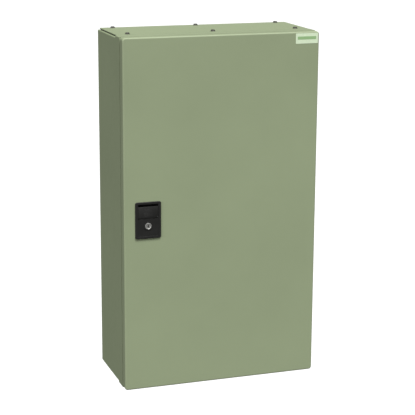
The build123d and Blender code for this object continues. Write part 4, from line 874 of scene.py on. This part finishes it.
def make_terminal_bolts():
    """Hexagon bolts with washers and nuts through each bar's end."""
    flats = 10.0
    washer_height = 0.9
    head_height = 3.1
    bar = 3.0  # the bar's thickness
    bm = bmesh.new()
    for low, high in solids_of("terminal_bolts"):
        centre = middle((low, high))
        face = low.y + washer_height + head_height
        at = place((centre.x, face, centre.z), FRONT, random.uniform(0, 60))
        add(bm, washer(6.3, 3.1, washer_height), at)
        add(bm, hex_head(flats, head_height), at @ Matrix.Translation((0, 0, washer_height)))
        behind = place((centre.x, face + bar, centre.z), BACK, random.uniform(0, 60))
        add(bm, hex_nut(flats, 5.0, 2.7), behind)
        add(bm, threaded_rod(2.9, -bar, high.y - face - bar), behind)
    finished(bm, "busbar_bolts", "enclosure", "terminal_bolts")


# ------------------------------------------------------------------ control row
def make_toggles():
    """Breaker levers: a round hub and a tapered lever with soft edges."""
    hub = 6.5
    outline = arc(hub, range(24, 337, 12))
    outline += [(12.6, -2.1), (13.6, -1.6), (14, -0.8), (14, 0.8), (13.6, 1.6), (12.6, 2.1)]
    rise = math.radians(40)
    sin, cos = math.sin(rise), math.cos(rise)
    for number in (1, 2):
        node = f"mcb_{number}_toggle"
        low, high = corners(node)
        turn = Matrix(((0, 0, -1, high.x), (-cos, sin, 0, high.y - hub), (sin, cos, 0, low.z + hub), (0, 0, 0, 1)))
        bm = bmesh.new()
        add(bm, prism(outline, high.x - low.x, 0.5), turn)
        finished(bm, f"breaker_{number}_lever", node, node, smooth=40)


def make_breaker_fittings():
    """Terminal screws, label holders, flag windows and rail latches of the two breakers."""
    screws = bmesh.new()
    strips = bmesh.new()
    latches = bmesh.new()
    flags = bmesh.new()
    screw = pan_screw(2.9, 2.0)
    screw_depth = 26.0  # behind the breaker's nose
    screw_height = 33.0  # above or below its middle
    for low, high in solids_of("mcb_cases"):
        x, _, z = middle((low, high))
        front = low.y
        for side in (-1, 1):
            pole = x + side * (high.x - low.x) / 4
            for end in (-1, 1):
                spot = (pole, front + screw_depth, z + screw_height * end)
                add(screws, screw, place(spot, FRONT, random.uniform(-40, 40)))
            add(latches, box((pole - 4, high.y - 7, low.z - 3.5), (pole + 4, high.y - 2.5, low.z + 1), 0.5))
            add(flags, box((pole - 2.5, front - 0.25, z + 14.2), (pole + 2.5, front + 0.2, z + 17.2), 0.2))
        add(strips, box((x - 15, front - 0.3, z - 20.5), (x + 15, front + 0.2, z - 15.5), 0.25))
    finished(screws, "breaker_screws", "enclosure", slot="zinc_steel")
    finished(strips, "breaker_label_strips", "enclosure", slot="label_pale")
    finished(latches, "breaker_rail_latches", "enclosure", slot="black_mould")
    finished(flags, "breaker_flags", "enclosure", slot="signal_red")


def make_terminal_strip():
    """Clamp screws, blank marker tags and end stops of the terminal row."""
    blocks = solids_of("terminal_blocks")
    screws = bmesh.new()
    tags = bmesh.new()
    screw = pan_screw(1.85, 1.3, recess="slot")
    for low, high in blocks:
        x, _, z = middle((low, high))
        for side in (-1, 1):
            spot = (x, low.y + 6.0, z + 5.5 * side)
            add(screws, screw, place(spot, FRONT, random.uniform(-50, 50)))
        add(tags, box((x - 2.6, low.y - 0.5, z - 2.9), (x + 2.6, low.y + 0.3, z + 2.9), 0.25))
    stops = bmesh.new()
    stop_width = 8.0
    gap = 0.5
    low, high = blocks[0]
    for x in (low.x - gap - stop_width, blocks[-1][1].x + gap):
        add(stops, box((x, low.y + 9, low.z + 4), (x + stop_width, high.y, high.z - 4), 0.8))
        add(stops, box((x + 2, low.y + 6, low.z + 14), (x + 6, low.y + 9.5, high.z - 14), 0.6))
    finished(screws, "terminal_clamp_screws", "enclosure", slot="zinc_steel")
    finished(tags, "terminal_marker_tags", "enclosure", slot="pale_mould")
    finished(stops, "terminal_end_stops", "enclosure", slot="grey_mould")


# ------------------------------------------------------------------ controller
def corner_screws(node, inset, radius, height, name):
    """Four screws near the corners of a case's front."""
    low, high = corners(node)
    screw = pan_screw(radius, height)
    bm = bmesh.new()
    for x in (low.x + inset, high.x - inset):
        for z in (low.z + inset, high.z - inset):
            add(bm, screw, place((x, low.y, z), FRONT, random.uniform(-45, 45)))
    finished(bm, name, "enclosure", slot="zinc_steel")


def make_controller_face():
    """The display's bezel, lamps, a bare mimic diagram and corner screws."""
    low, high = corners("controller_case")
    front = low.y
    window_low, window_high = corners("controller_window")
    centre = middle((window_low, window_high))
    half_x = (window_high.x - window_low.x) / 2
    half_z = (window_high.z - window_low.z) / 2
    rim = [(0, -0.2), (0, 0.7), (0.4, 1.1), (2.2, 1.1), (2.8, 0.6), (2.8, -0.2)]
    bezel = swept_loop(rounded_loop(half_x, half_z, 0.6, 4), [(out, rise - front) for out, rise in rim])
    bmesh.ops.translate(bezel, verts=bezel.verts, vec=(centre.x, 0, centre.z))
    finished(bezel, "display_bezel", "enclosure", slot="button_dark")

    lamp = lathe([(0, -1.5), (1.65, -1.5), (1.65, 0.1), (1.5, 0.55), (1.1, 0.95), (0.5, 1.15), (0, 1.2)], 24)
    lamp_x = high.x - 30.0
    lamp_pitch = 9.0
    lamp_heights = [window_low.z + 4.0 + lamp_pitch * number for number in range(len(lamp_materials))]
    for z, (name, material) in zip(lamp_heights, lamp_materials.items()):
        bm = bmesh.new()
        add(bm, lamp, place((lamp_x, front, z)))
        finished(bm, name, "enclosure", slot="signal_red", material=material)

    marks = bmesh.new()
    half = 0.35

    def stroke(x0, z0, x1, z1):
        add(marks, box((min(x0, x1) - half, front - 0.22, min(z0, z1) - half),
                       (max(x0, x1) + half, front + 0.1, max(z0, z1) + half), 0.08, 1))

    for z in lamp_heights:
        stroke(lamp_x + 5, z, lamp_x + 13, z)
    base = low.z + 8.0
    first = low.x + 90
    second = low.x + 114
    for x in (first, second):  # each source comes down to an open contact
        stroke(x, base + 24, x, base + 14)
        stroke(x - 2, base + 24, x + 2, base + 24)
        stroke(x, base + 10, x, base + 7)
    stroke(first, base + 7, second, base + 7)  # the two join, and leave for the load
    stroke((first + second) / 2, base + 7, (first + second) / 2, base)
    finished(marks, "controller_marks", "enclosure", slot="label_pale")
    corner_screws("controller_case", 6.0, 2.6, 1.3, "controller_screws")


def make_buttons():
    """Push-button caps with dished tops."""
    cap = [(0, 0), (4.7, 0), (5.0, 0.3), (5.0, 5.3), (4.85, 5.7), (4.5, 5.95), (4.1, 6.0), (3.6, 5.85),
           (2.6, 5.5), (1.4, 5.3), (0, 5.25)]
    for name in ("mode_button", "test_button", "reset_button"):
        low, high = corners(name)
        centre = middle((low, high))
        bm = bmesh.new()
        add(bm, lathe(cap, 40), place((centre.x, high.y, centre.z)))
        finished(bm, name + "_cap", name, name)


def make_plug_screws():
    """Clamp screws in the controller's three plugs."""
    screw = pan_screw(1.45, 1.0, recess="slot")
    way_pitch = 7.0
    bm = bmesh.new()
    for low, high in solids_of("controller_plugs"):
        for way in range(5):
            spot = (low.x + 4.0 + way_pitch * way, low.y + 3.0, (low.z + high.z) / 2)
            add(bm, screw, place(spot, FRONT, random.uniform(-60, 60)))
    finished(bm, "plug_screws", "enclosure", slot="zinc_steel")


# ------------------------------------------------------------------ switch
def make_switch_face():
    """Louvres and a raised panel over each pole of the switch."""
    low, high = corners("switch_cover")
    half = 10.5
    louvre_pitch = 4.2
    bm = bmesh.new()
    for x in sorted(middle(pair).x for pair in solids_of("load_terminals")):
        add(bm, box((x - half, low.y - 0.8, low.z + 42), (x + half, low.y + 0.5, high.z - 42), 0.5))
        for end in (-1, 1):
            for step in range(5):
                z = middle((low, high)).z + end * (27 + louvre_pitch * step)
                add(bm, box((x - half, low.y - 0.9, z - 1.1), (x + half, low.y + 0.5, z + 1.1), 0.45))
    finished(bm, "switch_louvres", "enclosure", slot=slot_of("switch_cover"))


def make_position_window():
    """The drive's window, and the coloured bands on the drum behind it."""
    low, high = corners("position_indicator")
    cover_front = corners("drive_cover")[0].y
    centre = middle((low, high))
    drum = (high.z - low.z) / 2
    half_height = 11.8
    margin = 1.8
    lens = box((low.x - margin, cover_front + 0.5, centre.z - half_height),
               (high.x + margin, cover_front + 2.2, centre.z + half_height), 0.4)
    finished(lens, "position_lens", "enclosure", slot="clear_cover")
    inset = 0.3
    turn = Matrix(((0, 0, -1, high.x - inset), (-1, 0, 0, centre.y), (0, 1, 0, centre.z), (0, 0, 0, 1)))
    for name, angle, slot in (("band_off", 0, "label_pale"), ("band_source_1", 45, "plug_green"),
                              ("band_source_2", -45, "signal_red")):
        outline = arc(drum + 0.3, range(angle - 17, angle + 18, 2))
        outline += arc(drum - 0.2, range(angle + 17, angle - 18, -2))
        bm = bmesh.new()
        add(bm, prism(outline, high.x - low.x - 2 * inset), turn)
        finished(bm, name, "rotor", slot=slot, smooth=30)


def make_handle_grip():
    """A ribbed sleeve over the stowed handle's grip, and a collar round the drive's shaft."""
    low, high = corners("manual_handle")
    depth = 44.0  # of the handle's axis in front of the wall
    start, end = 3, 58
    rib_pitch = 6.5
    profile = [(8.4, start)]
    for rib in range(8):
        base = 5 + rib_pitch * rib
        profile += [(8.6, base), (9.1, base + 1.2), (9.1, base + 4.0), (8.6, base + 5.2)]
    profile += [(8.4, end), (7.9, end), (7.9, start)]
    bm = bmesh.new()
    add(bm, lathe(profile, 36, closed=True), place(((low.x + high.x) / 2, -depth, low.z), (0, 0, 1)))
    finished(bm, "handle_grip_sleeve", "enclosure", slot="black_mould", smooth=20)
    centre = middle(corners("drive_shaft"))
    drive_end = corners("drive_housing")[1].x
    bm = bmesh.new()
    ring = lathe([(6.3, 0), (11, 0), (11, 1.4), (10.2, 2.0), (7.0, 2.0), (6.3, 1.4)], 40, closed=True)
    add(bm, ring, place((drive_end, centre.y, centre.z), (1, 0, 0)))
    finished(bm, "shaft_collar", "enclosure", slot="black_mould")


# ------------------------------------------------------------------ stage
def sun_light(name, direction, strength, softness):
    """A sun that shines from a direction, its disc softened to an angle in degrees."""
    data = bpy.data.lights.new(name, "SUN")
    data.energy = strength
    data.angle = math.radians(softness)
    lamp = bpy.data.objects.new(name, data)
    lamp.rotation_euler = Vector(direction).to_track_quat("Z", "Y").to_euler()
    bpy.context.scene.collection.objects.link(lamp)


def floor_material():
    """Matt white with a faint cloudiness."""
    s = Surface("floor_white")
    s.set(Roughness=0.7)
    s.colour(s.blend(s.spread(s.noise(3, 3), 0, 1), (0.86, 0.86, 0.86), (0.9, 0.9, 0.9)))
    return s.material


def make_stage():
    """A pale floor well below the hung enclosure, a pale sky and soft lights."""
    world = bpy.data.worlds.new("pale_sky")
    world.use_nodes = True
    tree = world.node_tree
    dim = tree.nodes["Background"]
    dim.inputs["Color"].default_value = (1, 1, 1, 1)
    dim.inputs["Strength"].default_value = SKY_STRENGTH
    bright = tree.nodes.new("ShaderNodeBackground")
    bright.inputs["Color"].default_value = (1, 1, 1, 1)
    mix = tree.nodes.new("ShaderNodeMixShader")
    tree.links.new(tree.nodes.new("ShaderNodeLightPath").outputs["Is Camera Ray"], mix.inputs["Fac"])
    tree.links.new(dim.outputs["Background"], mix.inputs[1])
    tree.links.new(bright.outputs["Background"], mix.inputs[2])
    tree.links.new(mix.outputs["Shader"], tree.nodes["World Output"].inputs["Surface"])
    bpy.context.scene.world = world
    bm = bmesh.new()
    bmesh.ops.create_grid(bm, x_segments=2, y_segments=2, size=FLOOR_HALF)
    mesh = bpy.data.meshes.new("floor")
    bm.to_mesh(mesh)
    bm.free()
    mesh.materials.append(floor_material())
    floor = bpy.data.objects.new("floor", mesh)
    floor.location = (0, 0, cad_bounds[0][2] - FLOOR_DROP)
    floor.visible_diffuse = False
    floor.visible_glossy = False
    floor.visible_shadow = False
    bpy.context.scene.collection.objects.link(floor)
    for name, (direction, strength, softness) in SUNS.items():
        sun_light(name, direction, strength, softness)


def make_camera():
    """The camera, placed from the door's front lower left corner in units of the door's height."""
    low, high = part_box("door_panel")
    unit = high.z - low.z
    corner = Vector((low.x, low.y, low.z))
    data = bpy.data.cameras.new("camera")
    data.sensor_width = SENSOR_WIDTH
    data.lens = CAMERA_LENS
    camera = bpy.data.objects.new("camera", data)
    camera.location = corner + Vector(CAMERA_OFFSET) * unit
    yaw, pitch, roll = (math.radians(a) for a in CAMERA_TURN)
    forward = Vector((math.sin(yaw) * math.cos(pitch), math.cos(yaw) * math.cos(pitch), math.sin(pitch)))
    turn = forward.to_track_quat("-Z", "Y").to_matrix() @ Matrix.Rotation(roll, 3, "Z")
    camera.rotation_euler = turn.to_euler()
    data.clip_start = CAMERA_CLIP
    bpy.context.scene.collection.objects.link(camera)
    bpy.context.scene.camera = camera


bpy.context.scene.view_settings.view_transform = "Standard"
dress_cad_nodes()
make_stage()
make_camera()
make_gland_screws()
make_lock_flap()
make_key_barrel()
make_label()
make_door_gasket()
make_hinge_caps()
make_earth_studs()
make_earth_lead()
make_earth_bar_screws()
make_plate_fixings()
make_terminal_bolts()
make_toggles()
make_breaker_fittings()
make_terminal_strip()
make_controller_face()
make_buttons()
make_plug_screws()
corner_screws("switch_cover", 5.0, 2.8, 1.6, "switch_cover_screws")
corner_screws("drive_cover", 6.0, 2.8, 1.6, "drive_cover_screws")
make_switch_face()
make_position_window()
make_handle_grip()
